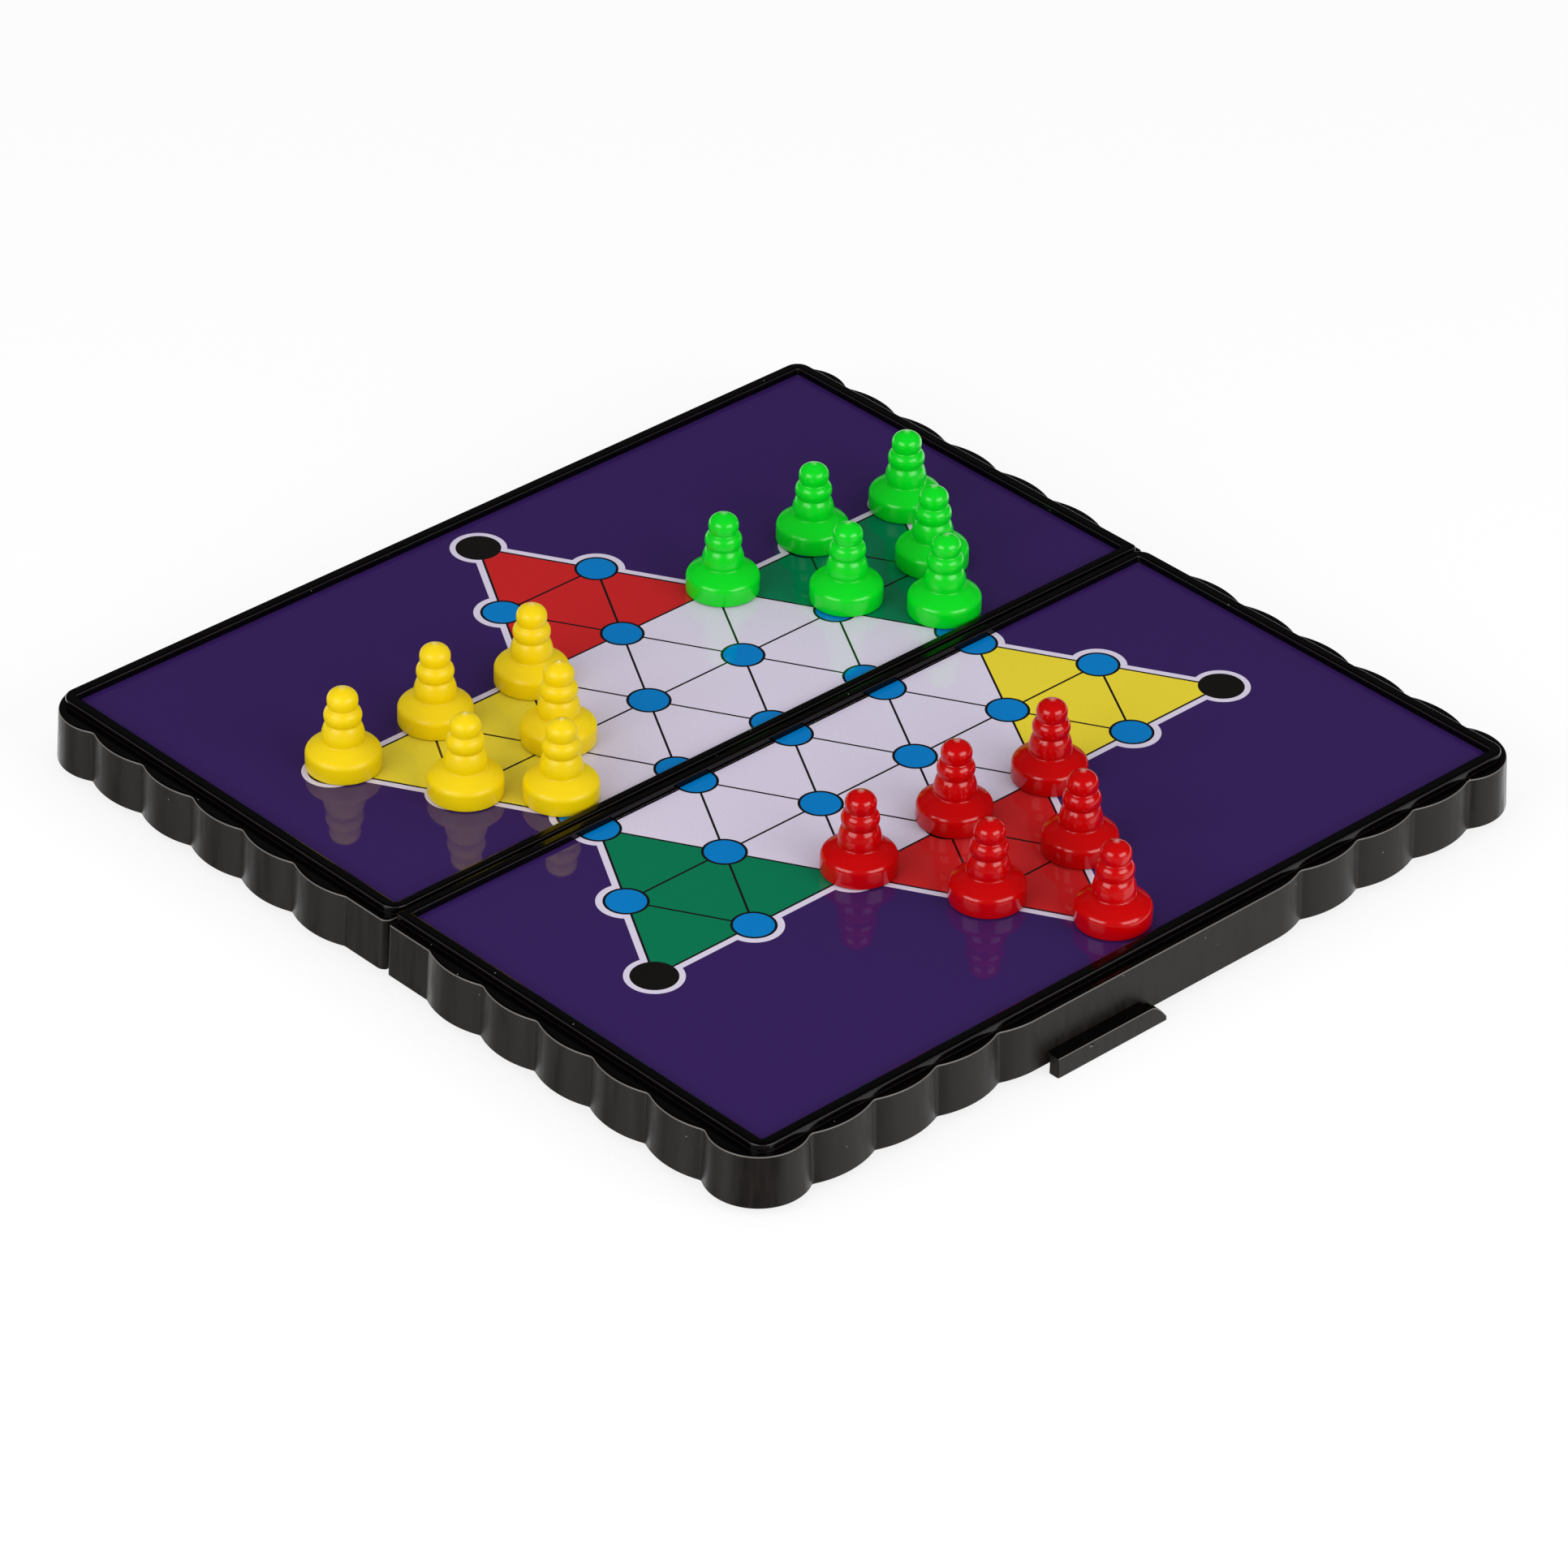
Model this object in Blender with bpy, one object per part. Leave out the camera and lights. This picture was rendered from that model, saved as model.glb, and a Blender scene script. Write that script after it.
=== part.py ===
"""A folding magnetic board for star halma, with its eighteen pawns out on the board.

The case is one moulded half used twice: each half is a shallow tray turned over, with the
playing face on top and the store for the pawns below. The front half is the rear half turned
half round, so each one's hinge knuckles fall between the other's. It opens flat to play and
folds rim to rim to put away.

Metres, +Z up, the table at zero. +X runs along the fold and +Y from the front half to the rear
half. The shapes of a half are made in the half's own frame: its origin is on the hinge axis,
above the middle of the case, and its +Y points away from the fold.
"""

import math

import bmesh
import bpy
from mathutils import Vector

MM = 0.001
QUARTER_TURN = math.pi / 2
HALF_TURN = math.pi
WHOLE_TURN = 2 * math.pi

# The printed board: rows of spots along the fold, one spacing apart
SPOT_SPACING = 15.8 * MM
ROW_SHARE = math.sin(math.pi / 3)
STAR_SPACINGS = 6
STAR_ROWS = 4
FIRST_ROW_INSET = 0.16 * MM
SIDE_MARGIN = 13.3 * MM
FAR_MARGIN = 5.3 * MM
SHEET_THICK = 0.2 * MM
SHEET_CORNER = 0.3 * MM

# The steel plate under each sheet
PLATE_THICK = 0.4 * MM
PLATE_MARGIN = 0.6 * MM
GLUE_LINE = 0.1 * MM
SHEET_CLEARANCE = 0.1 * MM

# The bead that frames each sheet
BEAD_WIDTH = 1.5 * MM
FOLD_BEAD_WIDTH = 1.25 * MM
BEAD_RISE = 0.95 * MM
BEAD_ROUND = 0.45 * MM
BEAD_CORNER = 2.0 * MM
LEAST_CORNER_SHARE = 0.1

# The tray: its walls flare out towards the rim
FOLD_FACE = 0.25 * MM
SIDE_LEDGE = 1.1 * MM
FAR_LEDGE = 0.3 * MM
LEDGE_DROP = 0.15 * MM
LEDGE_EDGE = 0.2 * MM
CAVITY_DEPTH = 5.4 * MM
TOP_THICK = 1.0 * MM
WALL = 1.3 * MM
FOLD_WALL = 1.2 * MM
FLARE = 0.4 * MM
ROUND_CORNER = 1.2 * MM
SQUARE_CORNER = 0.5 * MM
INNER_CORNER = 0.3 * MM

# The scalloped wall: round lobes with hollow fillets between them
LOBE_RISE = 1.05 * MM
SIDE_LOBES = 5
FAR_LOBES = 3
SIDE_FLAT = 7.57 * MM
MIDDLE_FLAT = 40.7 * MM
CORNER_LOBE = 6.1 * MM
VALLEY_FILLET = 1.0 * MM
LOBE_STEP = math.radians(10)
FILLET_STEPS = 2
CORNER_STEPS = 3

# The closing tongue, which laps over the other half's rim
TONGUE_START = 0.3 * MM
TONGUE_LENGTH = 18.2 * MM
TONGUE_SLOPE = 2.8 * MM
TONGUE_BEND_SHARE = 0.6
TONGUE_TOE = 0.6 * MM
TONGUE_RISE = 1.77 * MM
TONGUE_THICK = 1.35 * MM
TONGUE_GAP = 0.55 * MM
TONGUE_ROUND = 0.25 * MM
TONGUE_CORNER = 0.45 * MM
SHELF_THICK = 0.8 * MM
SHELF_INSET = 0.2 * MM
SLOPE_STEPS = 4

# The hinge at each end of the fold: two knuckles of one half with one of the other between them
KNUCKLE_RADIUS = 1.05 * MM
AXIS_BELOW_RIM = 0.15 * MM
PIN_RADIUS = 0.5 * MM
PIN_CLEARANCE = 0.05 * MM
OUTER_KNUCKLE = 3.7 * MM
MIDDLE_KNUCKLE = 4.0 * MM
KNUCKLE_GAP = 0.3 * MM
KNUCKLE_INSET = 7.4 * MM
KNUCKLE_ROOT_SHARE = 0.9
NOTCH_CLEARANCE = 0.3 * MM
KNUCKLE_STEPS = 8
PIN_STEPS = 16

# The pawn and the magnet in its base
MAGNET_RADIUS = 3.0 * MM
MAGNET_THICK = 2.0 * MM
MAGNET_CLEARANCE = 0.1 * MM
MAGNET_INSET = 0.1 * MM
BASE_WALL = 1.6 * MM
BASE_ROOF = 1.65 * MM
BASE_ROUND = 0.75 * MM
SHOULDER_DROP = 1.7 * MM
SHOULDER_TURN = math.radians(60)
STEM_RADIUS = 2.64 * MM
STEM_HEIGHT = 7.15 * MM
NUB_RADIUS = 0.35 * MM
NUB_HEIGHT = 0.3 * MM
SEAT_GAP = 0.1 * MM
BEAD_GAP = 0.2 * MM
PAWN_STEPS = 14
SHOULDER_STEPS = 2

# Radius as a share of the stem's, height as a share of the stem's height above the base
STEM_SHARES = (
    (0.955, 0.0),
    (1.00, 0.07),
    (0.945, 0.154),
    (0.78, 0.298),
    (0.87, 0.385),
    (0.87, 0.483),
    (0.67, 0.65),
    (0.72, 0.734),
    (0.70, 0.839),
    (0.58, 0.916),
    (0.34, 0.976),
)

# Where the pawns stand, in spot spacings along the fold and out from its row of spots
YELLOW_PLACE_SHARES = (
    (-2.88, 1.73),
    (-1.94, 1.74),
    (-1.00, 1.68),
    (-2.42, 0.83),
    (-1.40, 0.91),
    (-1.92, 0.25),
)
GREEN_PLACE_SHARES = (
    (1.05, 1.70),
    (2.12, 1.79),
    (1.69, 0.94),
    (3.03, 1.66),
    (2.59, 0.89),
    (2.15, 0.21),
)
RED_PLACE_SHARES = (
    (0.90, 1.71),
    (-0.12, 1.69),
    (0.45, 2.63),
    (-1.07, 1.76),
    (-0.54, 2.62),
    (-0.05, 3.46),
)

# How far a cutter or a joined piece runs past the surface that it crosses
OVERRUN = 0.5 * MM

# Points of a turned shape this close are one
MERGE_WITHIN = 0.001 * MM

# Places that follow from the sizes, in the half's own frame
SHEET_WIDTH = STAR_SPACINGS * SPOT_SPACING + 2 * SIDE_MARGIN
SHEET_DEPTH = FIRST_ROW_INSET + STAR_ROWS * ROW_SHARE * SPOT_SPACING + FAR_MARGIN
OPENING_START = FOLD_FACE + FOLD_BEAD_WIDTH
OPENING_END = OPENING_START + SHEET_DEPTH + 2 * SHEET_CLEARANCE
OPENING_SIDE = SHEET_WIDTH / 2 + SHEET_CLEARANCE
FIRST_ROW = OPENING_START + SHEET_CLEARANCE + FIRST_ROW_INSET
BEAD_SIDE = OPENING_SIDE + BEAD_WIDTH
BEAD_END = OPENING_END + BEAD_WIDTH
VALLEY_SIDE = BEAD_SIDE + SIDE_LEDGE
VALLEY_END = BEAD_END + FAR_LEDGE
CREST_SIDE = VALLEY_SIDE + LOBE_RISE
CREST_END = VALLEY_END + LOBE_RISE

TABLE = -KNUCKLE_RADIUS
RIM = AXIS_BELOW_RIM
CEILING = RIM + CAVITY_DEPTH
RECESS_FLOOR = CEILING + TOP_THICK
PLATE_BOTTOM = RECESS_FLOOR + GLUE_LINE
SHEET_BOTTOM = PLATE_BOTTOM + PLATE_THICK + GLUE_LINE
SHEET_TOP = SHEET_BOTTOM + SHEET_THICK
LEDGE = SHEET_TOP - LEDGE_DROP
BEAD_TOP = SHEET_TOP + BEAD_RISE

OUTER_END = VALLEY_SIDE - KNUCKLE_INSET
OUTER_START = OUTER_END - OUTER_KNUCKLE
MIDDLE_END = OUTER_START - KNUCKLE_GAP
MIDDLE_START = MIDDLE_END - MIDDLE_KNUCKLE
INNER_END = MIDDLE_START - KNUCKLE_GAP
INNER_START = INNER_END - OUTER_KNUCKLE

POCKET_RADIUS = MAGNET_RADIUS + MAGNET_CLEARANCE
POCKET_DEPTH = MAGNET_INSET + MAGNET_THICK + MAGNET_CLEARANCE
BASE_RADIUS = POCKET_RADIUS + BASE_WALL
BASE_HEIGHT = POCKET_DEPTH + BASE_ROOF


def clear_scene():
    """Removes whatever the file holds."""
    for old in list(bpy.data.objects):
        bpy.data.objects.remove(old, do_unlink=True)


def finish_of(name, colour, roughness, metallic=0.0):
    """A Principled material of one colour, roughness and metallic value."""
    material = bpy.data.materials.new(name)
    material.use_nodes = True
    shader = material.node_tree.nodes["Principled BSDF"]
    shader.inputs["Base Color"].default_value = (*colour, 1.0)
    shader.inputs["Roughness"].default_value = roughness
    shader.inputs["Metallic"].default_value = metallic
    material.diffuse_color = (*colour, 1.0)
    return material


def mesh_of(name, shape):
    """The mesh of a bmesh, with its faces turned outwards. It frees the bmesh."""
    bmesh.ops.recalc_face_normals(shape, faces=shape.faces)
    mesh = bpy.data.meshes.new(name)
    shape.to_mesh(mesh)
    shape.free()
    return mesh


def lofted(rings):
    """A closed bmesh through rings that have as many points each, with its two ends capped."""
    shape = bmesh.new()
    loops = [[shape.verts.new(point) for point in ring] for ring in rings]
    for lower, upper in zip(loops, loops[1:]):
        for n in range(len(lower)):
            shape.faces.new((lower[n - 1], lower[n], upper[n], upper[n - 1]))
    shape.faces.new(loops[0])
    shape.faces.new(loops[-1])
    return shape


def turned(profile, steps):
    """A closed bmesh turned about Z from a profile of (radius, height), which starts and ends on the axis."""
    shape = bmesh.new()
    points = [shape.verts.new((radius, 0, height)) for radius, height in profile]
    edges = [shape.edges.new(pair) for pair in zip(points, points[1:])]
    bmesh.ops.spin(
        shape,
        geom=points + edges,
        axis=(0, 0, 1),
        cent=(0, 0, 0),
        steps=steps,
        angle=WHOLE_TURN,
        use_duplicate=False,
    )
    bmesh.ops.remove_doubles(shape, verts=shape.verts, dist=MERGE_WITHIN)
    return shape


def level(points, height):
    """Flat points raised to one height."""
    return [(x, y, height) for x, y in points]


def arc(centre, radius, start, turn, steps):
    """Flat points along an arc, both ends included."""
    angles = [start + turn * n / steps for n in range(steps + 1)]
    return [(centre[0] + radius * math.cos(a), centre[1] + radius * math.sin(a)) for a in angles]


def rounded_rectangle(side, start, end, radii):
    """Points round a rectangle as wide as twice side, from start to end in Y.

    The radii are those of its corners at -X and +X on the fold, then at +X and -X beyond it.
    """
    corners = ((-1, start, 1), (1, start, 1), (1, end, -1), (-1, end, -1))
    points = []
    for n, ((way, y, inward), radius) in enumerate(zip(corners, radii)):
        centre = (way * (side - radius), y + inward * radius)
        points += arc(centre, radius, (n - 2) * QUARTER_TURN, QUARTER_TURN, CORNER_STEPS)
    return points


def bead_outline(inset):
    """The bead's outer outline, drawn in by an inset that shrinks its corners with it."""
    radii = (BEAD_CORNER, SQUARE_CORNER, BEAD_CORNER, BEAD_CORNER)
    shrunk = [max(radius - inset, radius * LEAST_CORNER_SHARE) for radius in radii]
    return rounded_rectangle(BEAD_SIDE - inset, FOLD_FACE + inset, BEAD_END - inset, shrunk)


def opening_outline(outset):
    """The outline of the sheet's opening, let out by an outset."""
    radii = (SHEET_CORNER + outset,) * 4
    return rounded_rectangle(OPENING_SIDE + outset, OPENING_START - outset, OPENING_END + outset, radii)


def quarter_round(radius):
    """(inwards, upwards) steps of a rounded edge, from its side to its top."""
    middle = 1 - math.cos(QUARTER_TURN / 2)
    return ((0, 0), (middle * radius, (1 - middle) * radius), (radius, radius))


def bead_block():
    """The block that the bead is the edge of, with its upper edge rounded."""
    rings = [level(bead_outline(0), LEDGE - OVERRUN)]
    for inwards, upwards in quarter_round(BEAD_ROUND):
        rings.append(level(bead_outline(inwards), BEAD_TOP - BEAD_ROUND + upwards))
    return lofted(rings)


def recess_cutter():
    """What is cut from the bead's block for the plate and the sheet, flared at the bead's inner edge."""
    rings = [level(opening_outline(0), RECESS_FLOOR)]
    for outwards, upwards in quarter_round(BEAD_ROUND):
        rings.append(level(opening_outline(outwards), BEAD_TOP - BEAD_ROUND + upwards))
    rings.append(level(opening_outline(BEAD_ROUND), BEAD_TOP + OVERRUN))
    return lofted(rings)


def heading(start, end):
    """The direction from one flat point to another, as an angle."""
    return math.atan2(end.y - start.y, end.x - start.x)


def crossing(first, first_radius, second, second_radius):
    """Where two circles cross, on the right of the way from the first centre to the second."""
    way = second - first
    along = (way.length_squared + first_radius**2 - second_radius**2) / (2 * way.length)
    across = math.sqrt(first_radius**2 - along**2)
    way.normalize()
    return first + way * along + Vector((way.y, -way.x)) * across


def lobe_radius(pitch):
    """The radius of a lobe that rises by LOBE_RISE over a chord of one pitch."""
    return (pitch**2 / 4 + LOBE_RISE**2) / (2 * LOBE_RISE)


def lobes():
    """(centre, radius) of each lobe at the ledge, from the fold at +X round to the middle of the far side."""
    corner = Vector((CREST_SIDE - CORNER_LOBE, CREST_END - CORNER_LOBE))
    reach = math.sqrt(CORNER_LOBE**2 - (CORNER_LOBE - LOBE_RISE) ** 2)
    side_pitch = (corner.y - reach - SIDE_FLAT) / SIDE_LOBES
    far_pitch = (corner.x - reach - MIDDLE_FLAT / 2) / (FAR_LOBES + 1 / 2)
    side_radius = lobe_radius(side_pitch)
    far_radius = lobe_radius(far_pitch)
    found = []
    for n in range(SIDE_LOBES):
        y = SIDE_FLAT + (n + 1 / 2) * side_pitch
        found.append((Vector((CREST_SIDE - side_radius, y)), side_radius))
    found.append((corner, CORNER_LOBE))
    for n in range(FAR_LOBES, -1, -1):
        x = MIDDLE_FLAT / 2 + n * far_pitch
        found.append((Vector((x, CREST_END - far_radius)), far_radius))
    return found


def valley_centres(wall_lobes):
    """The centres of the hollow fillets before each lobe. The first one leaves the flat wall by the fold."""
    centre, radius = wall_lobes[0]
    x = VALLEY_SIDE + VALLEY_FILLET
    y = centre.y - math.sqrt((radius + VALLEY_FILLET) ** 2 - (x - centre.x) ** 2)
    found = [Vector((x, y))]
    for (first, first_radius), (second, second_radius) in zip(wall_lobes, wall_lobes[1:]):
        found.append(crossing(first, first_radius + VALLEY_FILLET, second, second_radius + VALLEY_FILLET))
    return found


def scalloped_wall(grow):
    """The +X half of the scalloped wall, let out by grow, from the fold to the far side's middle."""
    wall_lobes = lobes()
    valleys = valley_centres(wall_lobes)
    points = []
    before = HALF_TURN
    for n, (centre, radius) in enumerate(wall_lobes):
        valley = valleys[n]
        fall = (before - heading(valley, centre)) % WHOLE_TURN
        fillet = arc(valley, VALLEY_FILLET - grow, before, -fall, FILLET_STEPS)
        start = heading(centre, valley)
        last = n + 1 == len(wall_lobes)
        end = QUARTER_TURN if last else heading(centre, valleys[n + 1])
        steps = max(2, round((end - start) % WHOLE_TURN / LOBE_STEP))
        points += fillet[min(n, 1):-1]
        points += arc(centre, radius + grow, start, (end - start) % WHOLE_TURN, steps)
        before = None if last else heading(valleys[n + 1], centre)
    return points


def tray_outline(grow, fold, round_corner, square_corner):
    """The outline of the tray's wall, let out by grow, with its straight side along the fold at Y = fold."""
    side = VALLEY_SIDE + grow
    wall = scalloped_wall(grow)
    square_centre = (side - square_corner, fold + square_corner)
    round_centre = (round_corner - side, fold + round_corner)
    square = arc(square_centre, square_corner, -QUARTER_TURN, QUARTER_TURN, CORNER_STEPS)
    rounded = arc(round_centre, round_corner, HALF_TURN, QUARTER_TURN, CORNER_STEPS)
    return square + wall + [(-x, y) for x, y in reversed(wall)] + rounded


def flare_at(height):
    """How far the wall has flared out at this height."""
    return FLARE * (LEDGE - height) / (LEDGE - RIM)


def outer_ring(height, inset=0.0):
    """The wall's outer surface at one height."""
    grow = flare_at(height) - inset
    return level(tray_outline(grow, FOLD_FACE, ROUND_CORNER, SQUARE_CORNER), height)


def inner_ring(height):
    """The wall's inner surface at one height."""
    grow = flare_at(height) - WALL
    return level(tray_outline(grow, FOLD_FACE + FOLD_WALL, INNER_CORNER, INNER_CORNER), height)


def tray():
    """The tray from its ceiling down to its rim and up its outer wall to the ledge."""
    rings = [inner_ring(CEILING), inner_ring(RIM)]
    rings += [outer_ring(RIM), outer_ring(LEDGE - LEDGE_EDGE), outer_ring(LEDGE, LEDGE_EDGE)]
    return lofted(rings)


def bend(start, control, end, steps):
    """Flat points along a quadratic curve."""
    points = []
    for n in range(steps + 1):
        t = n / steps
        weights = ((1 - t) ** 2, 2 * t * (1 - t), t**2)
        blended = zip(*((w * x, w * y) for w, (x, y) in zip(weights, (start, control, end))))
        points.append(tuple(sum(parts) for parts in blended))
    return points


def tongue_outline():
    """(X, Z) outline of the tongue's plate: one end square, the other sloped down to a toe."""
    end = TONGUE_START + TONGUE_LENGTH
    top = RIM + TONGUE_RISE
    slope_end = TONGUE_START + TONGUE_SLOPE
    bend_point = TONGUE_START + TONGUE_SLOPE * TONGUE_BEND_SHARE
    points = [(TONGUE_START, TABLE)]
    corner = (end - TONGUE_CORNER, TABLE + TONGUE_CORNER)
    points += arc(corner, TONGUE_CORNER, -QUARTER_TURN, QUARTER_TURN, CORNER_STEPS)
    points.append((end, top))
    points += bend((slope_end, top), (bend_point, top), (TONGUE_START, TABLE + TONGUE_TOE), SLOPE_STEPS)
    return points


def tongue_plate():
    """The tongue's plate, which hangs clear of the wall and down to the table."""
    inner_face = CREST_END + FLARE + TONGUE_GAP
    outer_face = inner_face + TONGUE_THICK
    rings = [[(x, y, z) for x, z in tongue_outline()] for y in (inner_face, outer_face)]
    shape = lofted(rings)
    middle = (inner_face + outer_face) / 2
    edges = [edge for edge in shape.edges if all(vert.co.y > middle for vert in edge.verts)]
    bmesh.ops.bevel(shape, geom=edges, offset=TONGUE_ROUND, segments=2, profile=0.5, affect="EDGES")
    return shape


def tongue_shelf():
    """The shelf that carries the tongue's plate from the wall."""
    top = RIM + TONGUE_RISE
    start = TONGUE_START + TONGUE_SLOPE
    end = TONGUE_START + TONGUE_LENGTH - SHELF_INSET
    root = CREST_END - WALL / 2
    tip = CREST_END + FLARE + TONGUE_GAP + TONGUE_THICK / 2
    corners = ((start, root), (end, root), (end, tip), (start, tip))
    return lofted([level(corners, top - SHELF_THICK), level(corners, top)])


def knuckle(start, end):
    """A hinge knuckle: round about the axis, with a foot from the wall that lies flat on the table."""
    root = FOLD_FACE + FOLD_WALL * KNUCKLE_ROOT_SHARE
    profile = arc((0, 0), KNUCKLE_RADIUS, QUARTER_TURN, HALF_TURN, KNUCKLE_STEPS)
    profile += [(root, TABLE), (root, KNUCKLE_RADIUS)]
    return lofted([[(x, y, z) for y, z in profile] for x in (start, end)])


def notch_cutter(start, end):
    """What is cut through the wall at the fold to let the other half's knuckle turn."""
    low = RIM - OVERRUN
    high = KNUCKLE_RADIUS + NOTCH_CLEARANCE
    inside = FOLD_FACE + FOLD_WALL + OVERRUN
    corners = (
        (start - KNUCKLE_GAP, -OVERRUN),
        (end + KNUCKLE_GAP, -OVERRUN),
        (end + KNUCKLE_GAP, inside),
        (start - KNUCKLE_GAP, inside),
    )
    return lofted([level(corners, low), level(corners, high)])


def round_bar(start, end, radius):
    """A round bar about the hinge axis."""
    outline = arc((0, 0), radius, 0, WHOLE_TURN, PIN_STEPS)[:-1]
    return lofted([[(x, y, z) for y, z in outline] for x in (start, end)])


def pin_hole_cutter(way):
    """The bore for the pin at one end of the fold, open to the case's side so that the pin can go in."""
    start = INNER_START - OVERRUN
    end = CREST_SIDE + FLARE + OVERRUN
    return round_bar(way * start, way * end, PIN_RADIUS + PIN_CLEARANCE)


def combined(name, base, steps):
    """The mesh of a bmesh after a list of (operation, bmesh) Booleans in turn."""
    body = bpy.data.objects.new(name, mesh_of(name, base))
    bpy.context.collection.objects.link(body)
    tools = []
    for operation, shape in steps:
        tool = bpy.data.objects.new(f"{name}_tool", mesh_of(f"{name}_tool", shape))
        tool.hide_render = True
        tool.display_type = "WIRE"
        bpy.context.collection.objects.link(tool)
        modifier = body.modifiers.new(operation, "BOOLEAN")
        modifier.operation = operation
        modifier.solver = "EXACT"
        modifier.object = tool
        tools.append(tool)
    graph = bpy.context.evaluated_depsgraph_get()
    mesh = bpy.data.meshes.new_from_object(body.evaluated_get(graph))
    mesh.name = name
    for helper in [body, *tools]:
        bpy.data.objects.remove(helper, do_unlink=True)
    return mesh


def case_half_mesh():
    """One moulded case half. Two outer knuckles stand at its +X end and one middle knuckle at its -X end."""
    steps = [
        ("UNION", bead_block()),
        ("DIFFERENCE", recess_cutter()),
        ("UNION", tongue_plate()),
        ("UNION", tongue_shelf()),
        ("DIFFERENCE", notch_cutter(MIDDLE_START, MIDDLE_END)),
        ("DIFFERENCE", notch_cutter(-OUTER_END, -OUTER_START)),
        ("DIFFERENCE", notch_cutter(-INNER_END, -INNER_START)),
        ("UNION", knuckle(INNER_START, INNER_END)),
        ("UNION", knuckle(OUTER_START, OUTER_END)),
        ("UNION", knuckle(-MIDDLE_END, -MIDDLE_START)),
        ("DIFFERENCE", pin_hole_cutter(1)),
        ("DIFFERENCE", pin_hole_cutter(-1)),
    ]
    return combined("case_half", tray(), steps)


def layer_mesh(name, inset, bottom, top):
    """A thin sheet in the recess, drawn in by inset from the printed sheet's edge."""
    radii = (SHEET_CORNER,) * 4
    side = SHEET_WIDTH / 2 - inset
    start = OPENING_START + SHEET_CLEARANCE + inset
    end = OPENING_END - SHEET_CLEARANCE - inset
    outline = rounded_rectangle(side, start, end, radii)
    return mesh_of(name, lofted([level(outline, bottom), level(outline, top)]))


def pawn_profile():
    """(radius, height) down the pocket, round the base and up the stem to the sprue nub."""
    profile = [(0, POCKET_DEPTH), (POCKET_RADIUS, POCKET_DEPTH), (POCKET_RADIUS, 0), (BASE_RADIUS, 0)]
    shoulder_centre = (BASE_RADIUS - BASE_ROUND, BASE_HEIGHT - SHOULDER_DROP)
    profile += arc(shoulder_centre, BASE_ROUND, 0, SHOULDER_TURN, SHOULDER_STEPS)
    for radius_share, height_share in STEM_SHARES:
        profile.append((STEM_RADIUS * radius_share, BASE_HEIGHT + STEM_HEIGHT * height_share))
    top = BASE_HEIGHT + STEM_HEIGHT
    return profile + [(NUB_RADIUS, top), (0, top + NUB_HEIGHT)]


def magnet_profile():
    """(radius, height) of the magnet in its pocket."""
    top = MAGNET_INSET + MAGNET_THICK
    return [(0, top), (MAGNET_RADIUS, top), (MAGNET_RADIUS, MAGNET_INSET), (0, MAGNET_INSET)]


def pawn_place(along_share, out_share):
    """Where a pawn stands in its half's frame. One on the fold's row of spots stands against the bead."""
    on_spot = FIRST_ROW + out_share * SPOT_SPACING
    against_bead = OPENING_START + BEAD_GAP + BASE_RADIUS
    return Vector((along_share * SPOT_SPACING, max(on_spot, against_bead), SHEET_TOP + SEAT_GAP))


def half_frame(name, turn):
    """An empty on the hinge axis that carries the pieces of one half."""
    empty = bpy.data.objects.new(name, None)
    empty.location = (0, 0, KNUCKLE_RADIUS)
    empty.rotation_euler = (0, 0, turn)
    bpy.context.collection.objects.link(empty)
    return empty


def add_piece(name, mesh, material, frame, place=(0, 0, 0)):
    """An object of this mesh in a half's frame, with the material on its mesh."""
    if not mesh.materials:
        mesh.materials.append(material)
        mesh.shade_smooth()
        mesh.set_sharp_from_angle(angle=math.radians(35))
    piece = bpy.data.objects.new(name, mesh)
    piece.parent = frame
    piece.location = place
    bpy.context.collection.objects.link(piece)
    return piece


def add_halves(frames):
    """The case halves, steel plates, printed sheets and hinge pins."""
    plastic = finish_of("black_styrene", (0.021, 0.020, 0.018), 0.42)
    steel = finish_of("tinned_steel", (0.55, 0.55, 0.54), 0.35, 1.0)
    print_film = finish_of("printed_film", (0.032, 0.017, 0.120), 0.18)
    pin_steel = finish_of("bright_steel", (0.60, 0.60, 0.60), 0.25, 1.0)
    plate_top = PLATE_BOTTOM + PLATE_THICK
    meshes = (
        ("case_half", case_half_mesh(), plastic),
        ("steel_plate", layer_mesh("steel_plate", PLATE_MARGIN, PLATE_BOTTOM, plate_top), steel),
        ("printed_sheet", layer_mesh("printed_sheet", 0, SHEET_BOTTOM, SHEET_TOP), print_film),
        ("hinge_pin", mesh_of("hinge_pin", round_bar(INNER_START, OUTER_END, PIN_RADIUS)), pin_steel),
    )
    for side, frame in frames.items():
        for piece, mesh, material in meshes:
            add_piece(f"{side}_{piece}", mesh, material, frame)


def add_pawns(frames):
    """Six pawns of each colour, each with its magnet."""
    ferrite = finish_of("magnet_ferrite", (0.040, 0.040, 0.042), 0.5)
    magnet = mesh_of("magnet", turned(magnet_profile(), PAWN_STEPS))
    sets = (
        ("yellow", "rear", YELLOW_PLACE_SHARES, (0.871, 0.680, 0.0)),
        ("green", "rear", GREEN_PLACE_SHARES, (0.0, 0.578, 0.021)),
        ("red", "front", RED_PLACE_SHARES, (0.578, 0.0, 0.002)),
    )
    for colour, side, places, shade in sets:
        plastic = finish_of(f"{colour}_styrene", shade, 0.2)
        pawn = mesh_of(f"{colour}_pawn", turned(pawn_profile(), PAWN_STEPS))
        for n, (along_share, out_share) in enumerate(places, start=1):
            place = pawn_place(along_share, out_share)
            add_piece(f"{colour}_pawn_{n}", pawn, plastic, frames[side], place)
            add_piece(f"{colour}_magnet_{n}", magnet, ferrite, frames[side], place)


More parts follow.
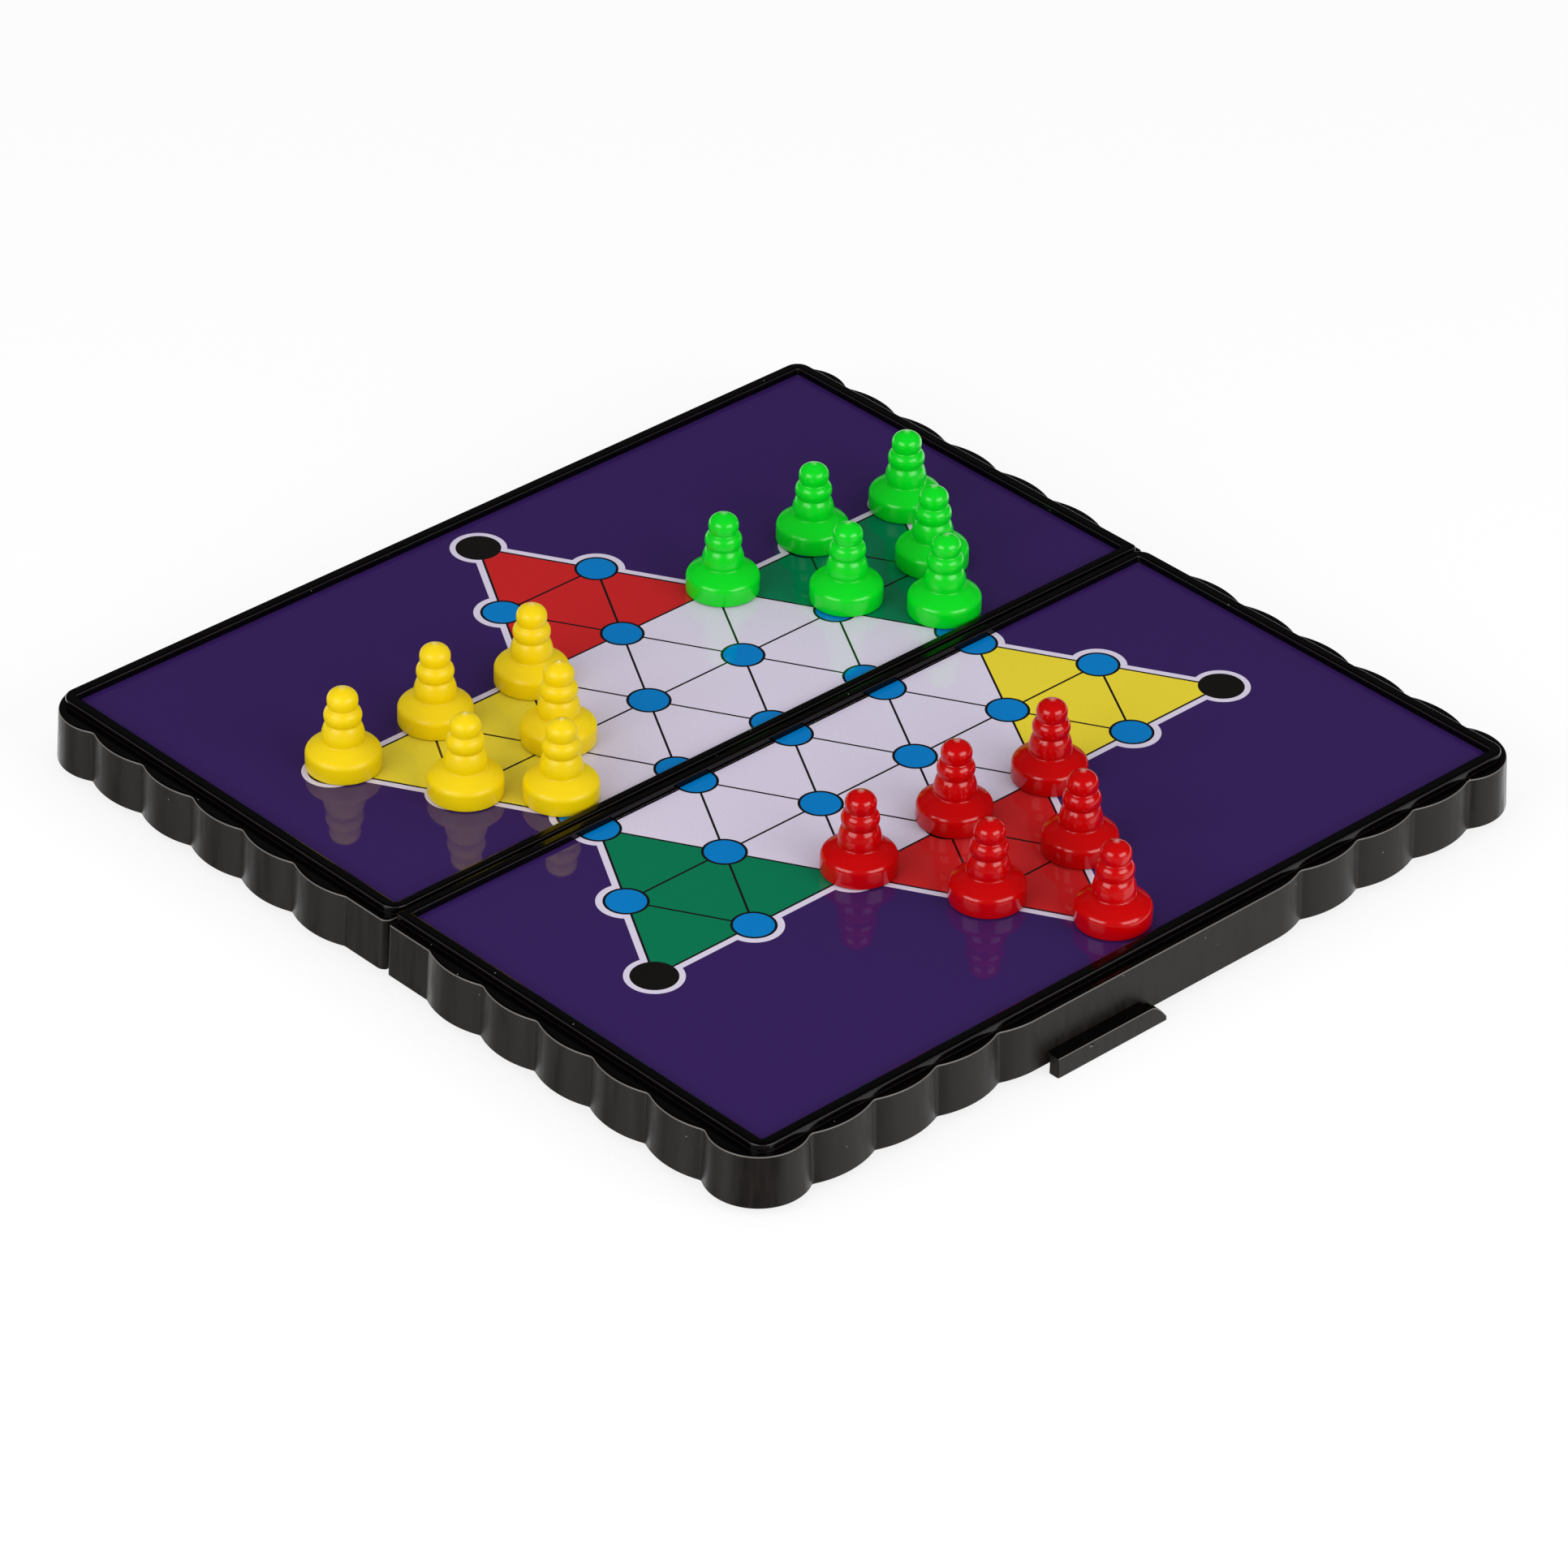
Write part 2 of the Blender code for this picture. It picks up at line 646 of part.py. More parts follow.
def main():
    clear_scene()
    frames = {"rear": half_frame("rear_fold_axis", 0), "front": half_frame("front_fold_axis", HALF_TURN)}
    add_halves(frames)
    add_pawns(frames)


main()
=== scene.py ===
# %% [markdown]
# # A folding star halma board
# The imported model says how big everything is, where it stands and what it moves with. This
# script gives each of its pieces the shape and finish that an eye close by would see: two
# moulded black case halves, two printed sheets and eighteen glossy pawns. It starts by
# loading that model.

# %% Load the frame
import math

import bmesh
import bpy
from mathutils import Matrix, Vector


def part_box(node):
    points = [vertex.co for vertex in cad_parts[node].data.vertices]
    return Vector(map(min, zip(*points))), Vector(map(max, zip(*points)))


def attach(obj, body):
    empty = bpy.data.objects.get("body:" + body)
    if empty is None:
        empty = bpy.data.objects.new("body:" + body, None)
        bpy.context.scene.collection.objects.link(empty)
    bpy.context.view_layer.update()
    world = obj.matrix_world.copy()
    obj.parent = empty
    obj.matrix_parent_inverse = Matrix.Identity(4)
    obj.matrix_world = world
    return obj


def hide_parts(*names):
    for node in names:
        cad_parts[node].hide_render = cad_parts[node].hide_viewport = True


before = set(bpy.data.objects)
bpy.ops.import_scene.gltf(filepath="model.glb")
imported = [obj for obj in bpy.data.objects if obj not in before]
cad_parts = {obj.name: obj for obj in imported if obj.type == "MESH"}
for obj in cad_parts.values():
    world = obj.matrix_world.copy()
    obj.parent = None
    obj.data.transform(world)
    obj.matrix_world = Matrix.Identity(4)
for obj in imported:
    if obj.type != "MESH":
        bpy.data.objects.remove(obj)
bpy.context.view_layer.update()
MM = 0.001

# %% [markdown]
# ## Helpers
# Node trees are built by one small function that adds a node, sets its properties and fills
# its inputs. An input is a plain value, or a node or socket to link from. Colours are
# written as sRGB hex, as a colour picker shows them, and turned to the linear values that
# the renderer works in.

# %% Add a node, read a colour
QUARTER_TURN = math.pi / 2
HALF_TURN = math.pi
WHOLE_TURN = 2 * math.pi


def add_node(tree, kind, inputs=None, **settings):
    """Adds a node with inputs given as values, nodes or sockets, and its properties by name."""
    node = tree.nodes.new(kind)
    for name, value in settings.items():
        setattr(node, name, value)
    for key, value in (inputs or {}).items():
        if isinstance(value, bpy.types.Node):
            value = next(socket for socket in value.outputs if socket.enabled)
        if isinstance(value, bpy.types.NodeSocket):
            tree.links.new(value, node.inputs[key])
        else:
            node.inputs[key].default_value = value
    return node


def linear(hex_colour):
    """The linear colour of an sRGB hex value such as #C9C0D4, with an alpha of 1."""
    shares = [int(hex_colour[n : n + 2], 16) / 255 for n in (1, 3, 5)]
    return tuple(s / 12.92 if s <= 0.04045 else ((s + 0.055) / 1.055) ** 2.4 for s in shares) + (1,)


def new_material(name):
    """A material with an empty tree."""
    material = bpy.data.materials.new(name)
    material.use_nodes = True
    material.node_tree.nodes.clear()
    return material, material.node_tree


def object_millimetres(tree):
    """The place on the piece, in millimetres."""
    place = add_node(tree, "ShaderNodeTexCoord").outputs["Object"]
    return add_node(tree, "ShaderNodeVectorMath", {0: place, "Scale": 1 / MM}, operation="SCALE")


def add_object(name, data):
    """An object in the scene, at the origin."""
    thing = bpy.data.objects.new(name, data)
    bpy.context.collection.objects.link(thing)
    return thing


print("check: mid grey", [round(value, 3) for value in linear("#808080")])

# %% [markdown]
# ## Black polystyrene
# The case is injection-moulded high-impact polystyrene. The mould's sides are spark eroded,
# so the walls come out satin. Its flat faces are polished, so the ledge, the bead and the
# tongue's top come out glossy and look almost black. One material does both: it is polished
# wherever the piece's own surface looks up, and all over the bead, which stands above the
# ledge. Drawing the part out of its mould leaves faint upright marks on the walls, a little
# browner and duller than the rest. The rounded edges in between carry a painted highlight, a
# light grey laid into their colour, most of all the ledge's edge, where it draws the thin pale
# line along it. The grain of such a mould is about 0.1 mm, and it is drawn at 0.25 mm, because
# a finer one would not show. A few light specks stand for the dust that black plastic draws.

# %% The case's plastic
LEDGE = 8.25
BEAD_FOOT = 0.2
SIDE_TILT = 0.45
TOP_TILT = 0.8
HIGHLIGHT_BAND_START = 0.2
HIGHLIGHT_BAND_FADE = 0.55
LEDGE_HIGHLIGHT = 0.38
BEAD_HIGHLIGHT = 0.05
GRAIN = 0.25
DUST_SPACING = 2.6
DUST_SHARE = 0.032
DUST_STRENGTH = 0.45
WALL_ROUGHNESS = (0.30, 0.48)
MARK_WIDTH = 1.1
MARK_LENGTH = 7.0
POLISH = 0.11
MIRROR = 0.25

case_plastic, tree = new_material("black_moulded_polystyrene")
place = object_millimetres(tree)
own_normal = add_node(tree, "ShaderNodeTexCoord").outputs["Normal"]
upward = add_node(tree, "ShaderNodeSeparateXYZ", {0: own_normal}).outputs["Z"]
height = add_node(tree, "ShaderNodeSeparateXYZ", {0: place}).outputs["Z"]
looks_up = add_node(
    tree, "ShaderNodeMapRange", {"Value": upward, "From Min": SIDE_TILT, "From Max": TOP_TILT}
)
on_bead = add_node(
    tree,
    "ShaderNodeMapRange",
    {"Value": height, "From Min": LEDGE + BEAD_FOOT / 4, "From Max": LEDGE + BEAD_FOOT},
)
polished = add_node(tree, "ShaderNodeMath", {0: looks_up, 1: on_bead}, operation="MAXIMUM")
# Painted highlight: the rounded edges between the walls and the tops get a light grey band in their
# colour, strongest on the ledge's edge, faint on the bead.
highlight_band_low = add_node(
    tree, "ShaderNodeMapRange", {"Value": upward, "From Min": HIGHLIGHT_BAND_START, "From Max": SIDE_TILT}
)
highlight_band_high = add_node(
    tree, "ShaderNodeMapRange", {"Value": upward, "From Min": TOP_TILT, "From Max": HIGHLIGHT_BAND_FADE}
)
highlight_band = add_node(tree, "ShaderNodeMath", {0: highlight_band_low, 1: highlight_band_high}, operation="MINIMUM")
highlight_strength = add_node(
    tree,
    "ShaderNodeMapRange",
    {
        "Value": height,
        "From Min": LEDGE,
        "From Max": LEDGE + BEAD_FOOT / 2,
        "To Min": LEDGE_HIGHLIGHT,
        "To Max": BEAD_HIGHLIGHT,
    },
)
stretched = add_node(
    tree,
    "ShaderNodeMapping",
    {"Vector": place, "Scale": (1 / MARK_WIDTH, 1 / MARK_WIDTH, 1 / MARK_LENGTH)},
)
smear = add_node(tree, "ShaderNodeTexNoise", {"Vector": stretched, "Scale": 1.0, "Detail": 3.0})
marks = add_node(tree, "ShaderNodeMapRange", {"Value": smear, "From Min": 0.35, "From Max": 0.65})
satin = add_node(
    tree,
    "ShaderNodeMapRange",
    {"Value": marks, "To Min": WALL_ROUGHNESS[0], "To Max": WALL_ROUGHNESS[1]},
)
wall = add_node(
    tree, "ShaderNodeMix", {0: marks, 6: linear("#120F0D"), 7: linear("#1A1512")}, data_type="RGBA"
)
roughness = add_node(tree, "ShaderNodeMix", {0: polished, 2: satin, 3: POLISH})
black = add_node(
    tree, "ShaderNodeMix", {0: polished, 6: wall.outputs[2], 7: linear("#040303")}, data_type="RGBA"
)
edge_highlight = add_node(tree, "ShaderNodeMath", {0: highlight_band, 1: highlight_strength}, operation="MULTIPLY")
# Here the painted highlight's light grey is mixed into the rounded edges.
edge_highlighted = add_node(
    tree, "ShaderNodeMix", {0: edge_highlight, 6: black, 7: linear("#A49E98")}, data_type="RGBA"
)
cells = add_node(tree, "ShaderNodeTexVoronoi", {"Vector": place, "Scale": 1 / DUST_SPACING})
speck = add_node(
    tree, "ShaderNodeMath", {0: cells.outputs["Distance"], 1: DUST_SHARE}, operation="LESS_THAN"
)
faint = add_node(tree, "ShaderNodeMath", {0: speck, 1: DUST_STRENGTH}, operation="MULTIPLY")
dusty = add_node(
    tree, "ShaderNodeMix", {0: faint, 6: edge_highlighted.outputs[2], 7: linear("#B4AFA8")}, data_type="RGBA"
)
grain = add_node(tree, "ShaderNodeTexNoise", {"Vector": place, "Scale": 1 / GRAIN, "Detail": 2.0})
grain_strength = add_node(
    tree, "ShaderNodeMapRange", {"Value": polished, "To Min": 0.25, "To Max": 0.03}
)
bump = add_node(
    tree, "ShaderNodeBump", {"Strength": grain_strength, "Distance": 0.02 * MM, "Height": grain}
)
shader = add_node(
    tree,
    "ShaderNodeBsdfPrincipled",
    {
        "Base Color": dusty,
        "Roughness": roughness,
        "IOR": 1.5,
        "Specular IOR Level": MIRROR,
        "Normal": bump,
    },
)
add_node(tree, "ShaderNodeOutputMaterial", {"Surface": shader})
print("material", case_plastic.name, len(tree.nodes), "nodes")

# %% [markdown]
# ## The printed star
# Each half holds a sheet of gloss-laminated offset print, and both carry the same print,
# turned half round. The pattern is a star of 37 spots on a triangular grid. A picture would
# do, but a formula stays sharp at any size. Three numbers describe a point: how far it lies
# along three directions 60 degrees apart. A star is two large triangles laid over each
# other, and a triangle is where the largest of three such numbers stays under a limit. The
# grid's lines are where one of them is a whole number of rows, and a spot is everything
# near the closest grid point.

# %% Where a point lies on the print
SPOT_SPACING = 15.8
ROW_PITCH = SPOT_SPACING * math.sin(math.pi / 3)
FIRST_ROW = 1.76

print_film, tree = new_material("gloss_laminated_offset_print")
place = object_millimetres(tree)
parts = add_node(tree, "ShaderNodeSeparateXYZ", {0: place})
side = add_node(tree, "ShaderNodeMath", {0: parts.outputs["Y"]}, operation="SIGN")
along = add_node(tree, "ShaderNodeMath", {0: parts.outputs["X"], 1: side}, operation="MULTIPLY")
outwards = add_node(tree, "ShaderNodeMath", {0: parts.outputs["Y"]}, operation="ABSOLUTE")
rise = add_node(tree, "ShaderNodeMath", {0: outwards, 1: FIRST_ROW}, operation="SUBTRACT")
spot_place = add_node(tree, "ShaderNodeCombineXYZ", {"X": along, "Y": rise})


def reach(degrees):
    """How far the point lies in this direction on the print, seen from its middle."""
    angle = math.radians(degrees)
    way = (math.cos(angle), math.sin(angle), 0)
    dot = add_node(tree, "ShaderNodeVectorMath", {0: spot_place, 1: way}, operation="DOT_PRODUCT")
    return dot.outputs["Value"]


def fold_values(operation, values):
    """The least or the greatest of several values."""
    result = values[0]
    for value in values[1:]:
        result = add_node(tree, "ShaderNodeMath", {0: result, 1: value}, operation=operation)
    return result


ways = {degrees: reach(degrees) for degrees in (30, 90, 150, 210, 270, 330)}
triangle_up = fold_values("MAXIMUM", [ways[30], ways[150], ways[270]])
triangle_down = fold_values("MAXIMUM", [ways[90], ways[210], ways[330]])
star_reach = fold_values("MINIMUM", [triangle_up, triangle_down])
middle_reach = fold_values("MAXIMUM", [triangle_up, triangle_down])
line_distances = [
    add_node(tree, "ShaderNodeMath", {0: ways[degrees], 1: ROW_PITCH / 2}, operation="PINGPONG")
    for degrees in (30, 90, 150)
]
line_distance = fold_values("MINIMUM", line_distances)
print("row pitch", round(ROW_PITCH, 3), "mm")

# %% [markdown]
# The closest grid point comes from two rectangular grids, one for the even rows and one for
# the odd rows. Wrapping a place into one cell of each grid gives its distance to that
# grid's closest point, and the smaller of the two distances counts.

# %% How far the closest spot is
CELL = Vector((SPOT_SPACING / 2, ROW_PITCH, 1))


def grid_distance(shift):
    """The distance to the closest point of one rectangular grid."""
    moved = add_node(tree, "ShaderNodeVectorMath", {0: spot_place, 1: shift}, operation="SUBTRACT")
    wrapped = add_node(
        tree, "ShaderNodeVectorMath", {0: moved, 1: CELL, 2: -CELL}, operation="WRAP"
    )
    return add_node(tree, "ShaderNodeVectorMath", {0: wrapped}, operation="LENGTH").outputs["Value"]


shifts = ((0, 0, 0), (CELL.x, CELL.y, 0))
spot_distance = fold_values("MINIMUM", [grid_distance(shift) for shift in shifts])
from_middle = add_node(tree, "ShaderNodeVectorMath", {0: spot_place}, operation="LENGTH")
print("grid cell", [round(2 * size, 2) for size in CELL.xy], "mm")

# %% [markdown]
# The print is then painted in layers, as a printer would separate it: purple ground, the
# star's white outline with rings round its spots, the coloured arms, thin black lines, the
# spots' black outlines and blue fills, and a black disc at each tip.

# %% Paint the layers
STAR_EDGE = 2 * ROW_PITCH
OUTLINE_WIDTH = 0.98
LINE_WIDTH = 0.3
SPOT_RADIUS = 2.47
SPOT_EDGE = 0.34
RING_RADIUS = 3.66
TIP_RADIUS = 2.92
TIP_START = 3.2 * SPOT_SPACING
SPOT_REACH = 5
WHITE = linear("#C8C0D3")
PURPLE = linear("#2F1A52")
BLUE = linear("#0071B6")
LINE_BLACK = linear("#120D10")
EDGE_BLACK = linear("#0C0A0C")
TIP_BLACK = linear("#0D0B08")


def under(value, limit):
    """1 where the value is less than the limit, otherwise 0."""
    return add_node(tree, "ShaderNodeMath", {0: value, 1: limit}, operation="LESS_THAN")


def both(first, second):
    """1 where both masks are 1."""
    return add_node(tree, "ShaderNodeMath", {0: first, 1: second}, operation="MULTIPLY")


def paint(mask, colour, ground):
    """A colour laid over the ground where the mask is 1."""
    mix = add_node(tree, "ShaderNodeMix", {0: mask, 6: ground, 7: colour}, data_type="RGBA")
    return mix.outputs[2]


in_star = under(star_reach, STAR_EDGE)
by_star = under(star_reach, STAR_EDGE + SPOT_REACH)
inner = under(from_middle.outputs["Value"], TIP_START)
tip = add_node(tree, "ShaderNodeMath", {0: 1.0, 1: inner}, operation="SUBTRACT")
ring = both(by_star, under(spot_distance, RING_RADIUS))
outline = fold_values("MAXIMUM", [ring, under(star_reach, STAR_EDGE + OUTLINE_WIDTH)])
blot = both(by_star, under(spot_distance, SPOT_RADIUS + SPOT_EDGE))
fill = both(both(by_star, inner), under(spot_distance, SPOT_RADIUS))
disc = both(both(by_star, tip), under(spot_distance, TIP_RADIUS))
line = both(under(line_distance, LINE_WIDTH / 2), under(star_reach, STAR_EDGE + LINE_WIDTH / 2))

ink = paint(outline, WHITE, PURPLE)
arms = linear("#B61E20")
for degrees, colour in ((30, "#006C49"), (150, "#D6C331")):
    beyond = add_node(
        tree, "ShaderNodeMath", {0: ways[degrees], 1: STAR_EDGE}, operation="GREATER_THAN"
    )
    arms = paint(beyond, linear(colour), arms)
star = paint(under(middle_reach, STAR_EDGE), WHITE, arms)
layers = ((in_star, star), (line, LINE_BLACK), (blot, EDGE_BLACK), (fill, BLUE), (disc, TIP_BLACK))
for mask, colour in layers:
    ink = paint(mask, colour, ink)
print("print layers", 2 + len(layers))

# %% [markdown]
# The lamination is glossy film: it mirrors the pawns that stand on it, a little unevenly,
# because the board under it is never quite flat. The film is nearly smooth and gets a very
# shallow bump about 9 mm across, and the ink a fine screen of dots.

# %% The film over the print
SCREEN = 0.3
SCREEN_TONES = (0.93, 1.07)
WAVE = 9.0
WAVE_DEPTH = 0.05
FILM_ROUGHNESS = 0.05

screen = add_node(tree, "ShaderNodeTexNoise", {"Vector": place, "Scale": 1 / SCREEN, "Detail": 1.0})
pale, deep = SCREEN_TONES
tone = add_node(
    tree, "ShaderNodeMapRange", {"Value": screen.outputs[0], "To Min": pale, "To Max": deep}
)
toned = add_node(
    tree, "ShaderNodeVectorMath", {0: ink, "Scale": tone.outputs[0]}, operation="SCALE"
)
wave = add_node(tree, "ShaderNodeTexNoise", {"Vector": place, "Scale": 1 / WAVE, "Detail": 2.0})
film_bump = add_node(
    tree, "ShaderNodeBump", {"Strength": 0.1, "Distance": WAVE_DEPTH * MM, "Height": wave}
)
shader = add_node(
    tree,
    "ShaderNodeBsdfPrincipled",
    {"Base Color": toned, "Roughness": FILM_ROUGHNESS, "IOR": 1.5, "Normal": film_bump},
)
add_node(tree, "ShaderNodeOutputMaterial", {"Surface": shader})
for half in ("rear", "front"):
    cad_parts[f"{half}_printed_sheet"].material_slots[0].material = print_film
print("material", print_film.name, len(tree.nodes), "nodes")

# %% [markdown]
# ## The metal that is hidden
# Under each sheet lies a tinned steel plate, and the hinge turns on two drawn steel pins.
# Both are seen only from below or at the fold. A metal's colour is its mirror colour. The
# plate was rolled, so its roughness runs in long streaks, and the pins were drawn through a
# die, which leaves streaks along them too.

# %% Rolled plate and drawn pins
STREAK_LENGTH = 30.0
STREAK_WIDTH = 0.5


def streaked_steel(name, colour, low, high):
    """Steel whose roughness runs in streaks along X."""
    material, tree = new_material(name)
    place = object_millimetres(tree)
    stretched = add_node(
        tree,
        "ShaderNodeMapping",
        {"Vector": place, "Scale": (1 / STREAK_LENGTH, 1 / STREAK_WIDTH, 1 / STREAK_WIDTH)},
    )
    streaks = add_node(tree, "ShaderNodeTexNoise", {"Vector": stretched, "Scale": 1.0})
    roughness = add_node(
        tree, "ShaderNodeMapRange", {"Value": streaks.outputs[0], "To Min": low, "To Max": high}
    )
    shader = add_node(
        tree,
        "ShaderNodeBsdfPrincipled",
        {"Base Color": linear(colour), "Metallic": 1.0, "Roughness": roughness},
    )
    add_node(tree, "ShaderNodeOutputMaterial", {"Surface": shader})
    return material


tinned_steel = streaked_steel("rolled_tinned_steel", "#C4C3BF", 0.28, 0.42)
pin_steel = streaked_steel("drawn_steel_wire", "#CFCFCD", 0.18, 0.30)
for half in ("rear", "front"):
    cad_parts[f"{half}_steel_plate"].material_slots[0].material = tinned_steel
print("materials", tinned_steel.name, pin_steel.name)

# %% [markdown]
# ## The case half
# A case half is a shallow tray turned over: a scalloped wall, a ledge, and a bead that
# frames the sheet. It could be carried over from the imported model, but its lobes have few
# facets there, and a glossy edge shows every one. So it is drawn again from the same sizes
# with more points. The wall's outline is a run of arcs: lobes that bulge outwards and small
# hollow fillets between them. All of it is in millimetres, for a half whose fold lies along
# the X axis and whose body reaches towards +Y.

# %% Sizes of the case half
sheet_low, sheet_high = (Vector(corner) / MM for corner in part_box("rear_printed_sheet"))
case_high = Vector(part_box("rear_case_half")[1]) / MM
SHEET_CLEARANCE = 0.1
OPENING_SIDE = sheet_high.x + SHEET_CLEARANCE
OPENING_START = sheet_low.y - SHEET_CLEARANCE
OPENING_END = sheet_high.y + SHEET_CLEARANCE
OPENING_CORNER = 0.3
BEAD_TOP = case_high.z
BEAD_WIDTH = 1.5
BEAD_ROUND = 0.32
BEAD_CORNER = 2.0
BEAD_SIDE = OPENING_SIDE + BEAD_WIDTH
BEAD_END = OPENING_END + BEAD_WIDTH
FOLD_FACE = 0.25
LEAST_CORNER = 0.1

RIM = 1.2
CEILING = 6.6
RECESS_FLOOR = 7.6
EDGE_ROUND = 0.3
WALL = 1.3
FOLD_WALL = 1.2
FLARE = 0.4
ROUND_CORNER = 1.2
SQUARE_CORNER = 0.5
INNER_CORNER = 0.3

CREST_SIDE = case_high.x - FLARE
LOBE_RISE = 1.05
VALLEY_SIDE = CREST_SIDE - LOBE_RISE
FAR_LEDGE = 0.3
CREST_END = BEAD_END + FAR_LEDGE + LOBE_RISE
SIDE_LOBES = 5
FAR_LOBES = 3
SIDE_FLAT = 7.57
MIDDLE_FLAT = 40.7
CORNER_LOBE = 6.1
VALLEY_FILLET = 1.0
print("bead", round(BEAD_SIDE, 2), round(BEAD_END, 2))
print("crests", round(CREST_SIDE, 2), round(CREST_END, 2))

# %% [markdown]
# Arcs and circle crossings are all the geometry that the outline needs. A lobe's radius
# follows from its pitch and its rise, and a fillet's centre is where two circles cross: the
# two lobes, each grown by the fillet's radius. Growing every arc by the same amount gives a
# parallel outline, so the flare and the wall's inner side come from one function.

# %% The scalloped outline
LOBE_STEP = math.radians(3)
FILLET_STEPS = 7
CORNER_STEPS = 7


def arc(centre, radius, start, turn, steps):
    """Flat points along an arc, both ends included."""
    angles = [start + turn * n / steps for n in range(steps + 1)]
    return [(centre[0] + radius * math.cos(a), centre[1] + radius * math.sin(a)) for a in angles]


def heading(start, end):
    """The direction from one flat point to another, as an angle."""
    return math.atan2(end.y - start.y, end.x - start.x)


def crossing(first, first_radius, second, second_radius):
    """Where two circles cross, on the right of the way from the first centre to the second."""
    way = second - first
    along = (way.length_squared + first_radius**2 - second_radius**2) / (2 * way.length)
    across = math.sqrt(first_radius**2 - along**2)
    way.normalize()
    return first + way * along + Vector((way.y, -way.x)) * across


def lobe_radius(pitch):
    """The radius of a lobe that rises by LOBE_RISE over a chord of one pitch."""
    return (pitch**2 / 4 + LOBE_RISE**2) / (2 * LOBE_RISE)


def wall_lobes():
    """(centre, radius) of each lobe, from the fold at +X round to the middle of the far side."""
    corner = Vector((CREST_SIDE - CORNER_LOBE, CREST_END - CORNER_LOBE))
    width = math.sqrt(CORNER_LOBE**2 - (CORNER_LOBE - LOBE_RISE) ** 2)
    side_pitch = (corner.y - width - SIDE_FLAT) / SIDE_LOBES
    far_pitch = (corner.x - width - MIDDLE_FLAT / 2) / (FAR_LOBES + 1 / 2)
    side_radius = lobe_radius(side_pitch)
    far_radius = lobe_radius(far_pitch)
    side_places = [SIDE_FLAT + (n + 1 / 2) * side_pitch for n in range(SIDE_LOBES)]
    far_places = [MIDDLE_FLAT / 2 + n * far_pitch for n in range(FAR_LOBES, -1, -1)]
    side_run = [(Vector((CREST_SIDE - side_radius, y)), side_radius) for y in side_places]
    far_run = [(Vector((x, CREST_END - far_radius)), far_radius) for x in far_places]
    return [*side_run, (corner, CORNER_LOBE), *far_run]


def valley_centres(lobes):
    """The centre of the hollow fillet before each lobe. The first leaves the flat by the fold."""
    centre, radius = lobes[0]
    x = VALLEY_SIDE + VALLEY_FILLET
    found = [Vector((x, centre.y - math.sqrt((radius + VALLEY_FILLET) ** 2 - (x - centre.x) ** 2)))]
    grown = [(centre, radius + VALLEY_FILLET) for centre, radius in lobes]
    return found + [crossing(*first, *second) for first, second in zip(grown, grown[1:])]


def scalloped_wall(grow):
    """The +X half of the wall's outline, let out by grow."""
    lobes = wall_lobes()
    valleys = valley_centres(lobes)
    points = []
    before = HALF_TURN
    for n, (centre, radius) in enumerate(lobes):
        fall = (before - heading(valleys[n], centre)) % WHOLE_TURN
        start = heading(centre, valleys[n])
        last = n + 1 == len(lobes)
        end = QUARTER_TURN if last else heading(centre, valleys[n + 1])
        sweep = (end - start) % WHOLE_TURN
        points += arc(valleys[n], VALLEY_FILLET - grow, before, -fall, FILLET_STEPS)[min(n, 1) : -1]
        points += arc(centre, radius + grow, start, sweep, max(2, round(sweep / LOBE_STEP)))
        before = None if last else heading(valleys[n + 1], centre)
    return points


def tray_outline(grow, fold, round_corner, square_corner):
    """The wall's whole outline, let out by grow, with its straight side at Y = fold."""
    side = VALLEY_SIDE + grow
    wall = scalloped_wall(grow)
    square_centre = (side - square_corner, fold + square_corner)
    round_centre = (round_corner - side, fold + round_corner)
    square = arc(square_centre, square_corner, -QUARTER_TURN, QUARTER_TURN, CORNER_STEPS)
    rounded = arc(round_centre, round_corner, HALF_TURN, QUARTER_TURN, CORNER_STEPS)
    return square + wall + [(-x, y) for x, y in reversed(wall)] + rounded


def rounded_rectangle(side, start, end, radii):
    """Points round a rectangle as wide as twice side, from start to end in Y."""
    corners = ((-1, start, 1), (1, start, 1), (1, end, -1), (-1, end, -1))
    points = []
    for n, ((way, y, inward), radius) in enumerate(zip(corners, radii)):
        centre = (way * (side - radius), y + inward * radius)
        points += arc(centre, radius, (n - 2) * QUARTER_TURN, QUARTER_TURN, CORNER_STEPS)
    return points


print("outline", len(tray_outline(0, FOLD_FACE, ROUND_CORNER, SQUARE_CORNER)), "points")

# %% [markdown]
# The tray is a loft: outlines stacked at their heights and joined ring by ring, from the
# ceiling down the inner wall, round the rim and up the outer wall to the ledge. A second
# loft runs up the bead, over its rounded top and down into the recess. Only the ledge
# between them has outlines with unlike point counts, so it is filled as a flat face with a
# hole. Every edge that catches the light gets its real rounding.

# %% Loft the tray
ROUND_STEPS = 5
FLAT_TOP_ANGLE = math.radians(35)


def level(points, height):
    """Flat points raised to one height."""
    return [(x, y, height) for x, y in points]


def quarter_round(radius):
    """(inwards, upwards) steps of a rounded edge, from its side to its top."""
    turns = [QUARTER_TURN * n / ROUND_STEPS for n in range(ROUND_STEPS + 1)]
    return [(radius * (1 - math.cos(turn)), radius * math.sin(turn)) for turn in turns]


def outer_ring(height, inset=0.0):
    """The wall's outer side at one height."""
    grow = FLARE * (LEDGE - height) / (LEDGE - RIM) - inset
    return level(tray_outline(grow, FOLD_FACE + inset, ROUND_CORNER, SQUARE_CORNER), height)


def inner_ring(height, inset=0.0):
    """The wall's inner side at one height."""
    grow = FLARE * (LEDGE - height) / (LEDGE - RIM) - WALL + inset
    fold = FOLD_FACE + FOLD_WALL - inset
    return level(tray_outline(grow, fold, INNER_CORNER, INNER_CORNER), height)


